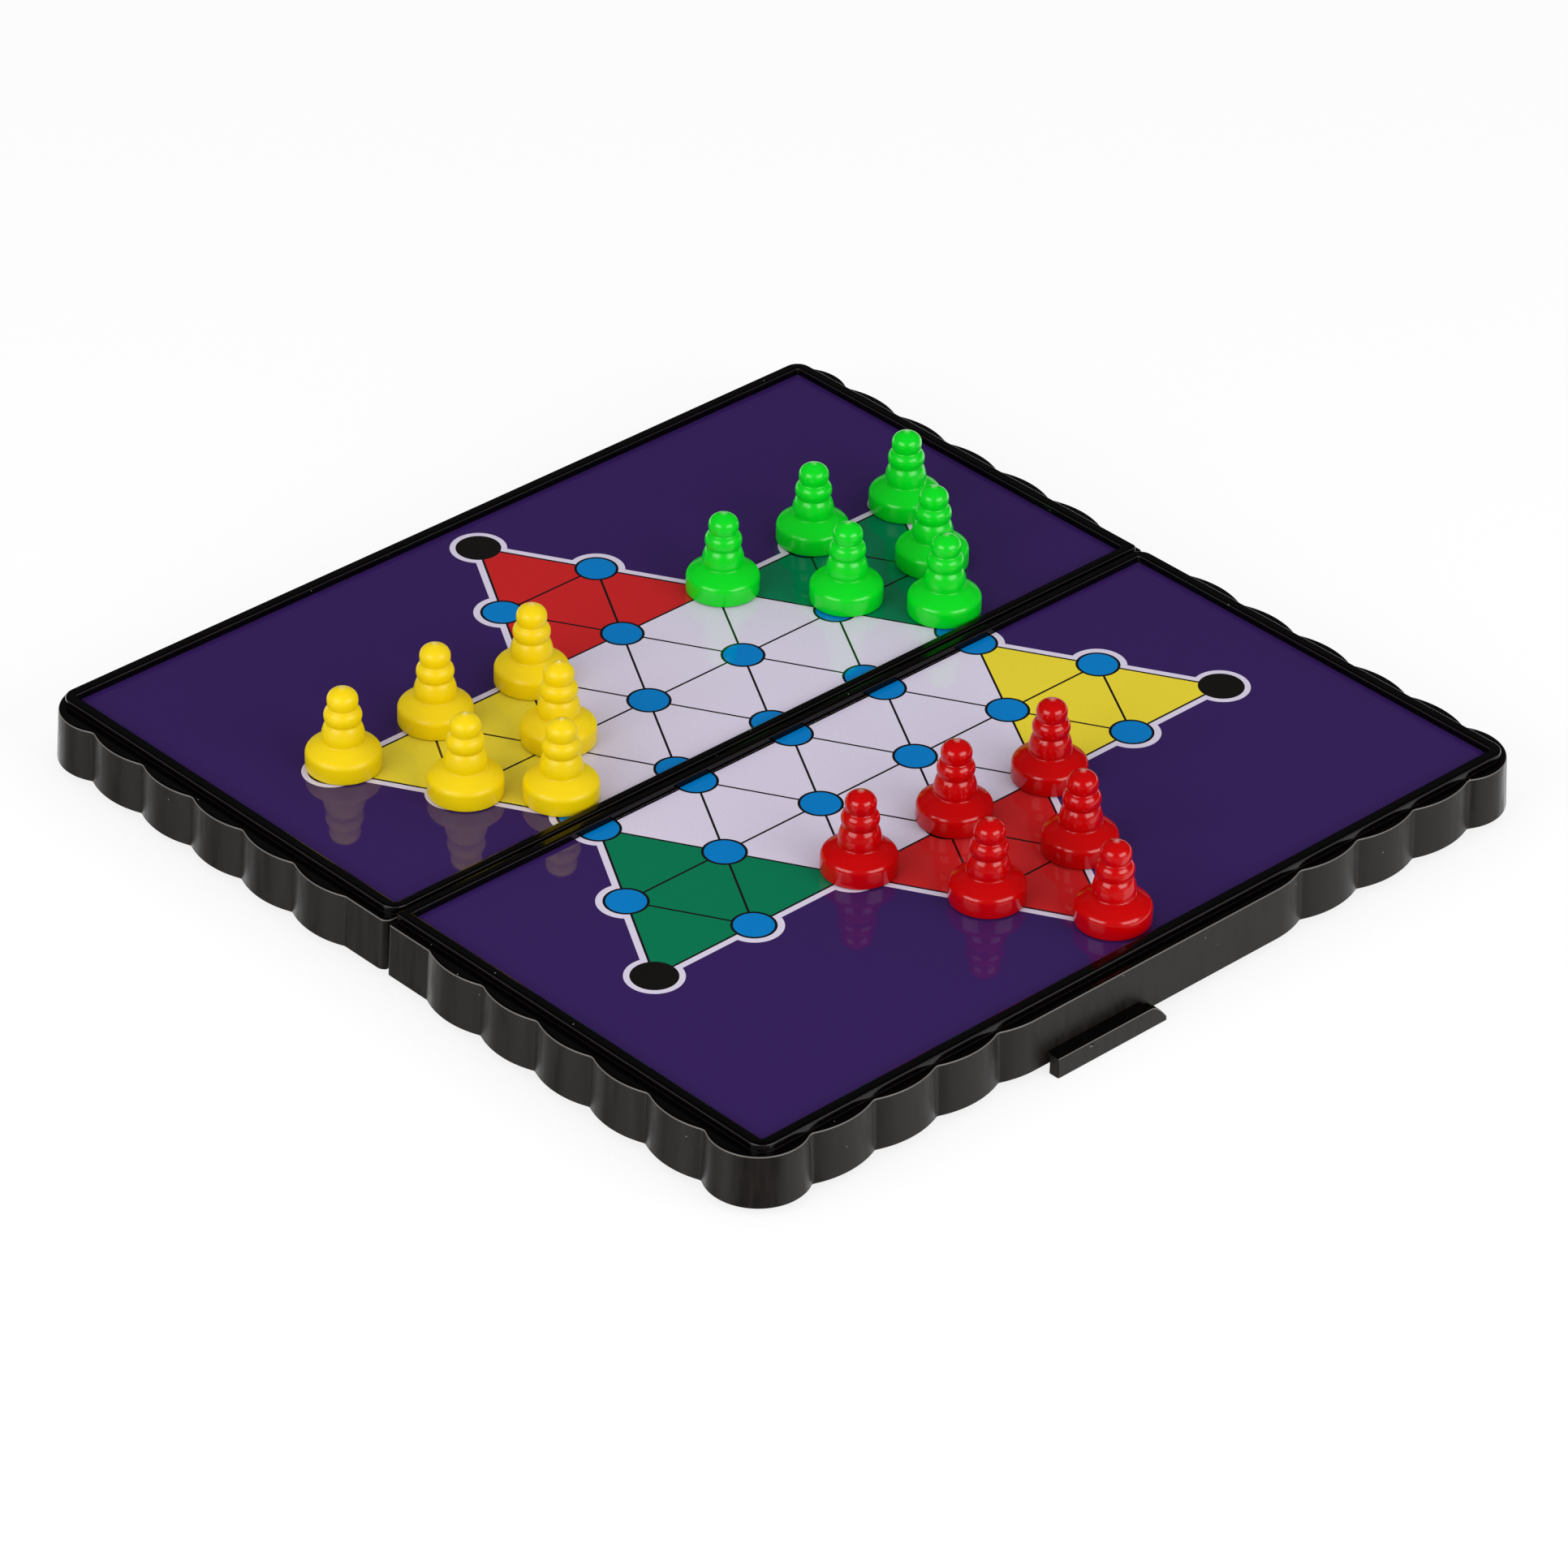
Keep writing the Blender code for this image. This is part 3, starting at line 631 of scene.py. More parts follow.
def bead_ring(height, inset):
    """The bead's outer side at one height."""
    corners = (BEAD_CORNER, SQUARE_CORNER, BEAD_CORNER, BEAD_CORNER)
    radii = [max(radius - inset, LEAST_CORNER) for radius in corners]
    start, end = FOLD_FACE + inset, BEAD_END - inset
    return level(rounded_rectangle(BEAD_SIDE - inset, start, end, radii), height)


def opening_ring(height, outset):
    """The bead's inner side at one height."""
    radii = (OPENING_CORNER + outset,) * 4
    start, end = OPENING_START - outset, OPENING_END + outset
    return level(rounded_rectangle(OPENING_SIDE + outset, start, end, radii), height)


def add_loft(shape, rings):
    """Joins rings of as many points each into a wall. It returns the loops of vertices."""
    loops = [[shape.verts.new(point) for point in ring] for ring in rings]
    for lower, upper in zip(loops, loops[1:]):
        for n in range(len(lower)):
            shape.faces.new((lower[n - 1], lower[n], upper[n], upper[n - 1]))
    return loops


def tray_shape():
    """The tray with its ledge, bead and recess as one closed bmesh."""
    shape = bmesh.new()
    rounding = quarter_round(EDGE_ROUND)
    rim_rounds = quarter_round(EDGE_ROUND / 2)
    wall = [inner_ring(CEILING)]
    wall += [inner_ring(RIM + EDGE_ROUND / 2 - up, inwards) for inwards, up in rim_rounds]
    wall += [outer_ring(RIM + EDGE_ROUND / 2 - up, inwards) for inwards, up in reversed(rim_rounds)]
    wall += [outer_ring(LEDGE - EDGE_ROUND + up, inwards) for inwards, up in rounding]
    bead_round_start = BEAD_TOP - BEAD_ROUND
    bead_rounds = [(inwards, bead_round_start + up) for inwards, up in quarter_round(BEAD_ROUND)]
    bead = [bead_ring(LEDGE, 0)]
    bead += [bead_ring(height, inwards) for inwards, height in bead_rounds]
    bead += [opening_ring(height, outwards) for outwards, height in reversed(bead_rounds)]
    bead.append(opening_ring(RECESS_FLOOR, 0))
    wall_loops = add_loft(shape, wall)
    bead_loops = add_loft(shape, bead)
    shape.faces.new(wall_loops[0])
    shape.faces.new(bead_loops[-1])
    rims = []
    for loop in (wall_loops[-1], bead_loops[0]):
        rims += [shape.edges.get((loop[n - 1], loop[n])) for n in range(len(loop))]
    bmesh.ops.triangle_fill(shape, edges=rims, use_beauty=True, use_dissolve=False)
    bmesh.ops.recalc_face_normals(shape, faces=shape.faces)
    return shape


trial = tray_shape()
open_edges = [edge for edge in trial.edges if not edge.is_manifold]
print("tray faces", len(trial.faces), "open edges", len(open_edges))
print("tray volume", round(trial.calc_volume(signed=True)), "mm3")
trial.free()

# %% [markdown]
# The tongue, the hinge's knuckles and the cuts for them are simple solids of their own, and
# Booleans join them to the tray or cut them out of it. That is how a toolmaker sees them
# too. The tongue's plate hangs clear of the wall from a thin shelf, square at one end and
# sloped down to a toe at the other, with the small pit that an ejector pin leaves.

# %% The tongue, the knuckles and the cuts
TONGUE_START = 0.3
TONGUE_END = 18.5
TONGUE_SLOPE = 2.8
TONGUE_BEND = 1.68
TONGUE_TOE = 0.6
TONGUE_TOP = 2.97
TONGUE_THICK = 1.35
TONGUE_ROUND = 0.25
TONGUE_ROUND_STEPS = 4
TONGUE_CORNER = 0.45
TONGUE_OUTER = case_high.y
TONGUE_INNER = TONGUE_OUTER - TONGUE_THICK
SHELF_THICK = 0.8
SHELF_INSET = 0.2
PIT = (13.0, 2.35)
PIT_RADIUS = 0.38
AXIS_HEIGHT = 1.05
KNUCKLE_RADIUS = 1.05
PIN_BORE = 0.55
KNUCKLE_ROOT = 1.33
KNUCKLES = ((44.0, 47.7), (52.3, 56.0), (-52.0, -48.0))
NOTCHES = ((47.7, 52.3), (-56.3, -52.0), (-48.0, -43.7))
NOTCH_TOP = 2.4
OVERRUN = 0.5


def closed_loft(rings):
    """A closed bmesh through rings, with its two ends capped."""
    shape = bmesh.new()
    loops = add_loft(shape, rings)
    shape.faces.new(loops[0])
    shape.faces.new(loops[-1])
    bmesh.ops.recalc_face_normals(shape, faces=shape.faces)
    return shape


def tongue_plate():
    """The tongue's plate with its outer edges rounded."""
    corner = (TONGUE_END - TONGUE_CORNER, TONGUE_CORNER)
    outline = [(TONGUE_START, 0)]
    outline += arc(corner, TONGUE_CORNER, -QUARTER_TURN, QUARTER_TURN, CORNER_STEPS)
    outline.append((TONGUE_END, TONGUE_TOP))
    slope = (TONGUE_START + TONGUE_SLOPE, TONGUE_TOP)
    bend = (TONGUE_START + TONGUE_BEND, TONGUE_TOP)
    toe = (TONGUE_START, TONGUE_TOE)
    for n in range(CORNER_STEPS + 2):
        t = n / (CORNER_STEPS + 1)
        weights = ((1 - t) ** 2, 2 * t * (1 - t), t**2)
        blended = zip(*((w * x, w * z) for w, (x, z) in zip(weights, (slope, bend, toe))))
        outline.append(tuple(sum(parts) for parts in blended))
    shape = closed_loft([[(x, y, z) for x, z in outline] for y in (TONGUE_INNER, TONGUE_OUTER)])
    outer = {vert for vert in shape.verts if vert.co.y > TONGUE_INNER + OVERRUN}
    bmesh.ops.bevel(
        shape,
        geom=[edge for edge in shape.edges if outer.issuperset(edge.verts)],
        offset=TONGUE_ROUND,
        segments=TONGUE_ROUND_STEPS,
        profile=0.5,
        affect="EDGES",
    )
    return shape


def slab(low, high):
    """A closed box between two corners, for cuts and for what they leave."""
    corners = ((low[0], low[1]), (high[0], low[1]), (high[0], high[1]), (low[0], high[1]))
    return closed_loft([level(corners, low[2]), level(corners, high[2])])


def knuckle(start, end):
    """A hinge knuckle, round about the axis and flat under its foot."""
    profile = arc((0, AXIS_HEIGHT), KNUCKLE_RADIUS, QUARTER_TURN, HALF_TURN, 2 * CORNER_STEPS)
    profile += [(KNUCKLE_ROOT, 0), (KNUCKLE_ROOT, AXIS_HEIGHT + KNUCKLE_RADIUS)]
    return closed_loft([[(x, y, z) for y, z in profile] for x in (start, end)])


def pin_bore(start, end):
    """The round bore for a hinge pin."""
    outline = arc((0, AXIS_HEIGHT), PIN_BORE, 0, WHOLE_TURN, 4 * CORNER_STEPS)[:-1]
    return closed_loft([[(x, y, z) for y, z in outline] for x in (start, end)])


def pit_cutter():
    """The ball that leaves the ejector pin's pit."""
    shape = bmesh.new()
    ball_place = Matrix.Translation((PIT[0], TONGUE_OUTER + PIT_RADIUS / 2, PIT[1]))
    bmesh.ops.create_icosphere(shape, subdivisions=3, radius=PIT_RADIUS, matrix=ball_place)
    return shape


print("tongue plate", len(tongue_plate().faces), "faces")

# %% [markdown]
# Each Boolean is a modifier on the tray, with the exact solver. The evaluated result is
# kept as a plain mesh and the helpers are deleted. A Weighted Normal modifier then lets the
# large flat faces keep flat shading beside the rounded edges. The mesh is scaled from
# millimetres to metres once, and the front half is a copy turned half round.

# %% Cut, join and place the halves
CUT_WALL = FOLD_FACE + FOLD_WALL + OVERRUN
shelf_low = (TONGUE_START + TONGUE_SLOPE, CREST_END - WALL / 2, TONGUE_TOP - SHELF_THICK)
shelf_high = (TONGUE_END - SHELF_INSET, TONGUE_INNER + TONGUE_THICK / 2, TONGUE_TOP)
steps = [
    ("UNION", tongue_plate()),
    ("UNION", slab(shelf_low, shelf_high)),
    ("DIFFERENCE", pit_cutter()),
]
for start, end in NOTCHES:
    steps.append(("DIFFERENCE", slab((start, -OVERRUN, 0), (end, CUT_WALL, NOTCH_TOP))))
for start, end in KNUCKLES:
    steps.append(("UNION", knuckle(start, end)))
bore_start, bore_end = KNUCKLES[0][0] - OVERRUN, case_high.x + OVERRUN
for way in (1, -1):
    steps.append(("DIFFERENCE", pin_bore(way * bore_start, way * bore_end)))


def object_of(name, shape):
    """An object in the scene made from a bmesh, which it frees."""
    mesh = bpy.data.meshes.new(name)
    shape.to_mesh(mesh)
    shape.free()
    return add_object(name, mesh)


def evaluated_mesh(thing):
    """The mesh of an object with its modifiers applied."""
    graph = bpy.context.evaluated_depsgraph_get()
    return bpy.data.meshes.new_from_object(thing.evaluated_get(graph))


def remove_all(things):
    """Deletes helper objects."""
    for thing in things:
        bpy.data.objects.remove(thing, do_unlink=True)


def add_piece(name, mesh, material, body, node):
    """A finished piece at the origin that rides on a body and stands for a node of the frame."""
    mesh.name = name
    mesh.materials.clear()
    mesh.materials.append(material)
    piece = add_object(name, mesh)
    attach(piece, body)
    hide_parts(node)
    return piece


body = object_of("case_half", tray_shape())
tools = []
for n, (operation, shape) in enumerate(steps):
    tool = object_of(f"tool_{n}", shape)
    tools.append(tool)
    modifier = body.modifiers.new(operation, "BOOLEAN")
    modifier.operation = operation
    modifier.solver = "EXACT"
    modifier.object = tool
joined = evaluated_mesh(body)
remove_all([body, *tools])
joined.shade_smooth()
joined.set_sharp_from_angle(angle=FLAT_TOP_ANGLE)
smoothed = add_object("case_half_smoothed", joined)
modifier = smoothed.modifiers.new("flat faces stay flat", "WEIGHTED_NORMAL")
modifier.keep_sharp = True
rear_mesh = evaluated_mesh(smoothed)
remove_all([smoothed])
rear_mesh.transform(Matrix.Scale(MM, 4))
front_mesh = rear_mesh.copy()
front_mesh.transform(Matrix.Rotation(HALF_TURN, 4, "Z"))
for half, mesh in (("rear", rear_mesh), ("front", front_mesh)):
    name, node = f"{half}_moulded_case", f"{half}_case_half"
    piece = add_piece(name, mesh, case_plastic, f"{half}_half", node)
    print(piece.name, len(mesh.polygons), "faces")

# %% [markdown]
# ## Pawn plastic
# The pawns are moulded in a soft, glossy plastic much like polyethylene, in three strong
# colours. Light enters such plastic a little and comes out beside where it went in, so each
# has a subsurface glow of one to two millimetres, which lifts its shaded side. The polished
# mould leaves a gloss with faint sink marks, which a bump about 1.5 mm across draws. On top
# of the head, where the sprue was twisted off, the colour turns pale: partly the stretched
# plastic there, partly a painted highlight for the glint on the nub.

# %% Three pawn colours
GLOW_DEPTH = 1.6
GLOW_SHARE = 0.4
SINK = 1.5
SINK_DEPTH = 0.04
CLOUD = 2.2
DEEP_SHARE = 0.2
DULLER = 0.04
SHINIER = 0.03
# The pale top of the head: stretched plastic at the sprue, and a painted highlight for the nub's
# glint.
PALE_TORN_AND_GLINT = linear("#F2ECE2")
PAWN_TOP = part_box("yellow_pawn_1")[1][2] / MM
PALE_TOP_DEPTH = 0.3
PALE_TOP_SHARE = 0.3


def pawn_material(name, colour, deep_colour, roughness, mirror):
    """Glossy moulded plastic of one colour."""
    material, tree = new_material(name)
    place = object_millimetres(tree)
    sink = add_node(tree, "ShaderNodeTexNoise", {"Vector": place, "Scale": 1 / SINK, "Detail": 1.0})
    bump = add_node(
        tree, "ShaderNodeBump", {"Strength": 0.1, "Distance": SINK_DEPTH * MM, "Height": sink}
    )
    cloud = add_node(
        tree, "ShaderNodeTexNoise", {"Vector": place, "Scale": 1 / CLOUD, "Detail": 2.0}
    )
    amount = add_node(
        tree, "ShaderNodeMapRange", {"Value": cloud, "To Min": 0.0, "To Max": DEEP_SHARE}
    )
    tint = add_node(
        tree,
        "ShaderNodeMix",
        {0: amount, 6: linear(colour), 7: linear(deep_colour)},
        data_type="RGBA",
    )
    height = add_node(tree, "ShaderNodeSeparateXYZ", {0: place}).outputs["Z"]
    # Partly painted highlight: the top of the head is mixed towards the pale colour, for the
    # stretched plastic and for the nub's glint.
    torn_and_glint_mask = add_node(
        tree,
        "ShaderNodeMapRange",
        {
            "Value": height,
            "From Min": PAWN_TOP - PALE_TOP_DEPTH,
            "From Max": PAWN_TOP,
            "To Max": PALE_TOP_SHARE,
        },
    )
    paled_and_glinting = add_node(
        tree, "ShaderNodeMix", {0: torn_and_glint_mask, 6: tint.outputs[2], 7: PALE_TORN_AND_GLINT}, data_type="RGBA"
    )
    shine = add_node(
        tree,
        "ShaderNodeMapRange",
        {"Value": cloud, "To Min": roughness - SHINIER, "To Max": roughness + DULLER},
    )
    shader = add_node(
        tree,
        "ShaderNodeBsdfPrincipled",
        {
            "Base Color": paled_and_glinting.outputs[2],
            "Roughness": shine,
            "IOR": 1.5,
            "Specular IOR Level": mirror,
            "Subsurface Weight": GLOW_SHARE,
            "Subsurface Radius": (1.0, 1.0, 1.0),
            "Subsurface Scale": GLOW_DEPTH * MM,
            "Normal": bump,
        },
    )
    add_node(tree, "ShaderNodeOutputMaterial", {"Surface": shader})
    return material


PAWN_COLOURS = {
    "yellow": pawn_material("yellow_moulded_plastic", "#E0C300", "#D4B300", 0.33, 0.30),
    "green": pawn_material("green_moulded_plastic", "#00CC1E", "#00B414", 0.23, 0.45),
    "red": pawn_material("red_moulded_plastic", "#B40002", "#A00002", 0.17, 0.45),
}
print("pawn materials", [material.name for material in PAWN_COLOURS.values()])

# %% [markdown]
# The magnet in each base is sintered ferrite, a dark grey ceramic with a fine matte grain,
# ground on its faces.

# %% Ferrite
FERRITE_GRAIN = 0.2
FERRITE_DEPTH = 0.02

ferrite, tree = new_material("sintered_ferrite")
place = object_millimetres(tree)
grain = add_node(tree, "ShaderNodeTexNoise", {"Vector": place, "Scale": 1 / FERRITE_GRAIN})
tint = add_node(
    tree,
    "ShaderNodeMix",
    {0: grain.outputs[0], 6: linear("#2E2E30"), 7: linear("#444446")},
    data_type="RGBA",
)
bump = add_node(
    tree, "ShaderNodeBump", {"Strength": 0.3, "Distance": FERRITE_DEPTH * MM, "Height": grain}
)
shader = add_node(
    tree,
    "ShaderNodeBsdfPrincipled",
    {"Base Color": tint.outputs[2], "Roughness": 0.55, "Normal": bump},
)
add_node(tree, "ShaderNodeOutputMaterial", {"Surface": shader})
print("material", ferrite.name)

# %% [markdown]
# ## A tree that turns a profile
# A pawn is a turned shape: one profile swung round its axis. Blender's Spin or a Screw
# modifier would do, but here a Geometry Nodes tree does it, because the same tree then
# makes pawns, magnets and hinge pins, and its inputs can be changed afterwards. It lays out
# a grid with a column for each step round and a row for each point of the profile. Each grid
# point looks up its profile point by number and is moved to that radius and height. The
# seam and the poles are then merged. The nub that the sprue leaves on a pawn's head leans
# by a random amount, with a seed that each pawn shares with the pawns of the same number in
# the other colours.

# %% Build the tree
MERGE_WITHIN = 0.0001

turning = bpy.data.node_groups.new("turn_a_profile", "GeometryNodeTree")
turning.is_modifier = True
sockets = {}
for name, kind in (
    ("Profile", "NodeSocketGeometry"),
    ("Steps Around", "NodeSocketInt"),
    ("Nub Starts At", "NodeSocketFloat"),
    ("Nub Lean", "NodeSocketFloat"),
    ("Seed", "NodeSocketInt"),
    ("Material", "NodeSocketMaterial"),
):
    sockets[name] = turning.interface.new_socket(name, in_out="INPUT", socket_type=kind)
turning.interface.new_socket("Geometry", in_out="OUTPUT", socket_type="NodeSocketGeometry")

given = add_node(turning, "NodeGroupInput").outputs
count = add_node(
    turning, "GeometryNodeAttributeDomainSize", {0: given["Profile"]}, component="MESH"
).outputs["Point Count"]
columns = add_node(turning, "ShaderNodeMath", {0: given["Steps Around"], 1: 1.0}, operation="ADD")
grid = add_node(
    turning,
    "GeometryNodeMeshGrid",
    {"Size X": 1.0, "Size Y": 1.0, "Vertices X": columns, "Vertices Y": count},
)
here = add_node(turning, "GeometryNodeInputPosition")
share = add_node(turning, "ShaderNodeSeparateXYZ", {0: here})
angle = add_node(
    turning,
    "ShaderNodeMath",
    {0: share.outputs["X"], 1: WHOLE_TURN, 2: HALF_TURN},
    operation="MULTIPLY_ADD",
)
from_start = add_node(turning, "ShaderNodeMath", {0: share.outputs["Y"], 1: 0.5}, operation="ADD")
last_row = add_node(turning, "ShaderNodeMath", {0: count, 1: 1.0}, operation="SUBTRACT")
row = add_node(turning, "ShaderNodeMath", {0: from_start, 1: last_row}, operation="MULTIPLY")
row_number = add_node(turning, "FunctionNodeFloatToInt", {0: row}, rounding_mode="ROUND")
looked_up = add_node(
    turning,
    "GeometryNodeSampleIndex",
    {"Geometry": given["Profile"], "Value": here, "Index": row_number},
    data_type="FLOAT_VECTOR",
    domain="POINT",
)
profile_point = add_node(turning, "ShaderNodeSeparateXYZ", {0: looked_up})
cosine = add_node(turning, "ShaderNodeMath", {0: angle}, operation="COSINE")
sine = add_node(turning, "ShaderNodeMath", {0: angle}, operation="SINE")
x = add_node(
    turning, "ShaderNodeMath", {0: profile_point.outputs["X"], 1: cosine}, operation="MULTIPLY"
)
y = add_node(
    turning, "ShaderNodeMath", {0: profile_point.outputs["X"], 1: sine}, operation="MULTIPLY"
)
turned_place = add_node(
    turning, "ShaderNodeCombineXYZ", {"X": x, "Y": y, "Z": profile_point.outputs["Z"]}
)
turned = add_node(
    turning, "GeometryNodeSetPosition", {"Geometry": grid.outputs["Mesh"], "Position": turned_place}
)
merged = add_node(
    turning, "GeometryNodeMergeByDistance", {"Geometry": turned, "Distance": MERGE_WITHIN}
)
print("turning tree so far", len(turning.nodes), "nodes")

# %% [markdown]
# The lean grows from the height where the nub starts. One random direction serves every
# point of a pawn, because its ID is the same everywhere and only the seed differs.

# %% Lean the nub and close the tree
aim = add_node(
    turning,
    "FunctionNodeRandomValue",
    {0: (-1.0, -1.0, 0.0), 1: (1.0, 1.0, 0.0), "ID": 0, "Seed": given["Seed"]},
    data_type="FLOAT_VECTOR",
)
now = add_node(turning, "ShaderNodeSeparateXYZ", {0: here})
above = add_node(
    turning,
    "ShaderNodeMath",
    {0: now.outputs["Z"], 1: given["Nub Starts At"]},
    operation="SUBTRACT",
)
raised = add_node(turning, "ShaderNodeMath", {0: above, 1: 0.0}, operation="MAXIMUM")
lean = add_node(turning, "ShaderNodeMath", {0: raised, 1: given["Nub Lean"]}, operation="MULTIPLY")
shift = add_node(turning, "ShaderNodeVectorMath", {0: aim, "Scale": lean}, operation="SCALE")
leaned = add_node(turning, "GeometryNodeSetPosition", {"Geometry": merged, "Offset": shift})
real = add_node(turning, "GeometryNodeRealizeInstances", {"Geometry": leaned})
smooth = add_node(turning, "GeometryNodeSetShadeSmooth", {"Geometry": real})
coated = add_node(
    turning, "GeometryNodeSetMaterial", {"Geometry": smooth, "Material": given["Material"]}
)
add_node(turning, "NodeGroupOutput", {0: coated})


def turned_mesh(name, profile, material, steps_around, nub=(0.0, 0.0), seed=0):
    """A plain mesh, in millimetres, of a profile of (radius, height) turned round Z by the tree."""
    line = bpy.data.meshes.new(name)
    edges = [(n, n + 1) for n in range(len(profile) - 1)]
    line.from_pydata([(r, 0, z) for r, z in profile], edges, [])
    holder = add_object(name, line)
    modifier = holder.modifiers.new("turn", "NODES")
    modifier.node_group = turning
    values = {"Steps Around": steps_around, "Nub Starts At": nub[0], "Nub Lean": nub[1]}
    values |= {"Seed": seed, "Material": material}
    for socket, value in values.items():
        modifier[sockets[socket].identifier] = value
    mesh = evaluated_mesh(holder)
    remove_all([holder])
    shape = bmesh.new()
    shape.from_mesh(mesh)
    bmesh.ops.recalc_face_normals(shape, faces=shape.faces)
    shape.to_mesh(mesh)
    shape.free()
    mesh.set_sharp_from_angle(angle=FLAT_TOP_ANGLE)
    return mesh


print("turning tree", len(turning.nodes), "nodes")

# %% [markdown]
# ## The pawn's profile
# Read from the photograph, a pawn is a thick base with a rounded shoulder and a domed top,
# and on it a bulb, a ring and a ball, each narrower than the one below. The stem flows
# from one to the next, so it is a smooth curve through a few measured points: each stretch
# between two points is a Catmull-Rom piece, whose direction at a point follows from the
# points on either side. Under the base is the pocket for the magnet.

# %% Draw the profile
pawn_low, pawn_high = (Vector(corner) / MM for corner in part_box("yellow_pawn_1"))
magnet_low, magnet_high = (Vector(corner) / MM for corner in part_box("yellow_magnet_1"))
BASE_RADIUS = (pawn_high.x - pawn_low.x) / 2
PAWN_HEIGHT = pawn_high.z - pawn_low.z
MAGNET_RADIUS = (magnet_high.x - magnet_low.x) / 2
POCKET_CLEARANCE = 0.1
POCKET_RADIUS = MAGNET_RADIUS + POCKET_CLEARANCE
POCKET_DEPTH = magnet_high.z - pawn_low.z + POCKET_CLEARANCE
FOOT_ROUND = 0.15
FOOT_STEPS = 3
SIDE_HEIGHT = 1.90
SHOULDER_ROUND = 1.0
SHOULDER_TURN = math.radians(56)
SHOULDER_STEPS = 7
CURVE_STEPS = 4
STEM_POINTS = (
    (3.20, 3.42), (2.88, 3.58), (2.64, 3.75), (2.58, 3.92), (2.62, 4.20), (2.65, 4.55),
    (2.61, 5.00), (2.51, 5.40), (2.38, 5.80), (2.23, 6.10), (2.12, 6.27), (2.12, 6.40),
    (2.22, 6.60), (2.32, 6.90), (2.36, 7.22), (2.33, 7.56), (2.20, 7.92), (2.00, 8.20),
    (1.84, 8.37), (1.78, 8.50), (1.82, 8.66), (1.89, 8.95), (1.93, 9.40), (1.86, 9.88),
    (1.60, 10.34), (1.18, 10.68), (0.78, 10.87), (0.46, 11.00), (0.24, 11.15),
)
TIP_HEIGHT = 10.87


def smooth_curve(points):
    """Points along a Catmull-Rom curve through the given points, its two ends included."""
    ends = [points[0], *points, points[-1]]
    curve = []
    for before, start, end, after in zip(ends, ends[1:], ends[2:], ends[3:]):
        for n in range(CURVE_STEPS):
            t = n / CURVE_STEPS
            weights = (
                -t / 2 + t**2 - t**3 / 2,
                1 - 5 * t**2 / 2 + 3 * t**3 / 2,
                t / 2 + 2 * t**2 - 3 * t**3 / 2,
                -(t**2) / 2 + t**3 / 2,
            )
            parts = zip(weights, (before, start, end, after))
            weighted = zip(*((w * r, w * z) for w, (r, z) in parts))
            curve.append(tuple(sum(values) for values in weighted))
    return [*curve, points[-1]]


def pawn_profile():
    """(radius, height) down the pocket, round the base and up to the nub."""
    foot_centre = (BASE_RADIUS - FOOT_ROUND, FOOT_ROUND)
    foot = arc(foot_centre, FOOT_ROUND, -QUARTER_TURN, QUARTER_TURN, FOOT_STEPS)
    shoulder_centre = (BASE_RADIUS - SHOULDER_ROUND, SIDE_HEIGHT)
    shoulder = arc(shoulder_centre, SHOULDER_ROUND, 0, SHOULDER_TURN, SHOULDER_STEPS)
    pocket = [(0, POCKET_DEPTH), (POCKET_RADIUS, POCKET_DEPTH), (POCKET_RADIUS, 0)]
    return [*pocket, *foot, *shoulder, *smooth_curve(STEM_POINTS), (0, PAWN_HEIGHT)]


print("pawn", round(2 * BASE_RADIUS, 2), "mm across", round(PAWN_HEIGHT, 2), "mm tall")
print("profile", len(pawn_profile()), "points")

# %% [markdown]
# Each pawn is a body of its own that lifts off the board, so each gets its own mesh, moved
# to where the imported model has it. Its magnet is a disc with small chamfers, turned by the
# same tree, and so are the two hinge pins, laid along the fold.

# %% Turn the pawns, the magnets and the pins
PAWN_STEPS = 56
MAGNET_STEPS = 48
PIN_STEPS = 32
CHAMFER = 0.15
NUB_LEAN = 0.2
PAWNS_PER_COLOUR = 6


def node_centre(node):
    """The middle of a node seen from above, at its lowest height."""
    low, high = (Vector(corner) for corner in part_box(node))
    return Vector(((low.x + high.x) / 2, (low.y + high.y) / 2, low.z))


def disc_profile(radius, height):
    """(radius, height) points of a chamfered disc."""
    inside = radius - CHAMFER
    side = [(inside, 0), (radius, CHAMFER), (radius, height - CHAMFER), (inside, height)]
    return [(0, 0), *side, (0, height)]


pawn_outline = pawn_profile()
magnet_outline = disc_profile(MAGNET_RADIUS, magnet_high.z - magnet_low.z)
for colour, material in PAWN_COLOURS.items():
    for n in range(1, PAWNS_PER_COLOUR + 1):
        node = f"{colour}_pawn_{n}"
        mesh = turned_mesh(node, pawn_outline, material, PAWN_STEPS, (TIP_HEIGHT, NUB_LEAN), n)
        mesh.transform(Matrix.Translation(node_centre(node)) @ Matrix.Scale(MM, 4))
        pawn = add_piece(f"{node}_turned", mesh, material, node, node)
        magnet_node = f"{colour}_magnet_{n}"
        mesh = turned_mesh(magnet_node, magnet_outline, ferrite, MAGNET_STEPS)
        mesh.transform(Matrix.Translation(node_centre(magnet_node)) @ Matrix.Scale(MM, 4))
        magnet = add_piece(f"{magnet_node}_disc", mesh, ferrite, node, magnet_node)
    print(colour, "pawns", PAWNS_PER_COLOUR, "faces each", len(pawn.data.polygons))

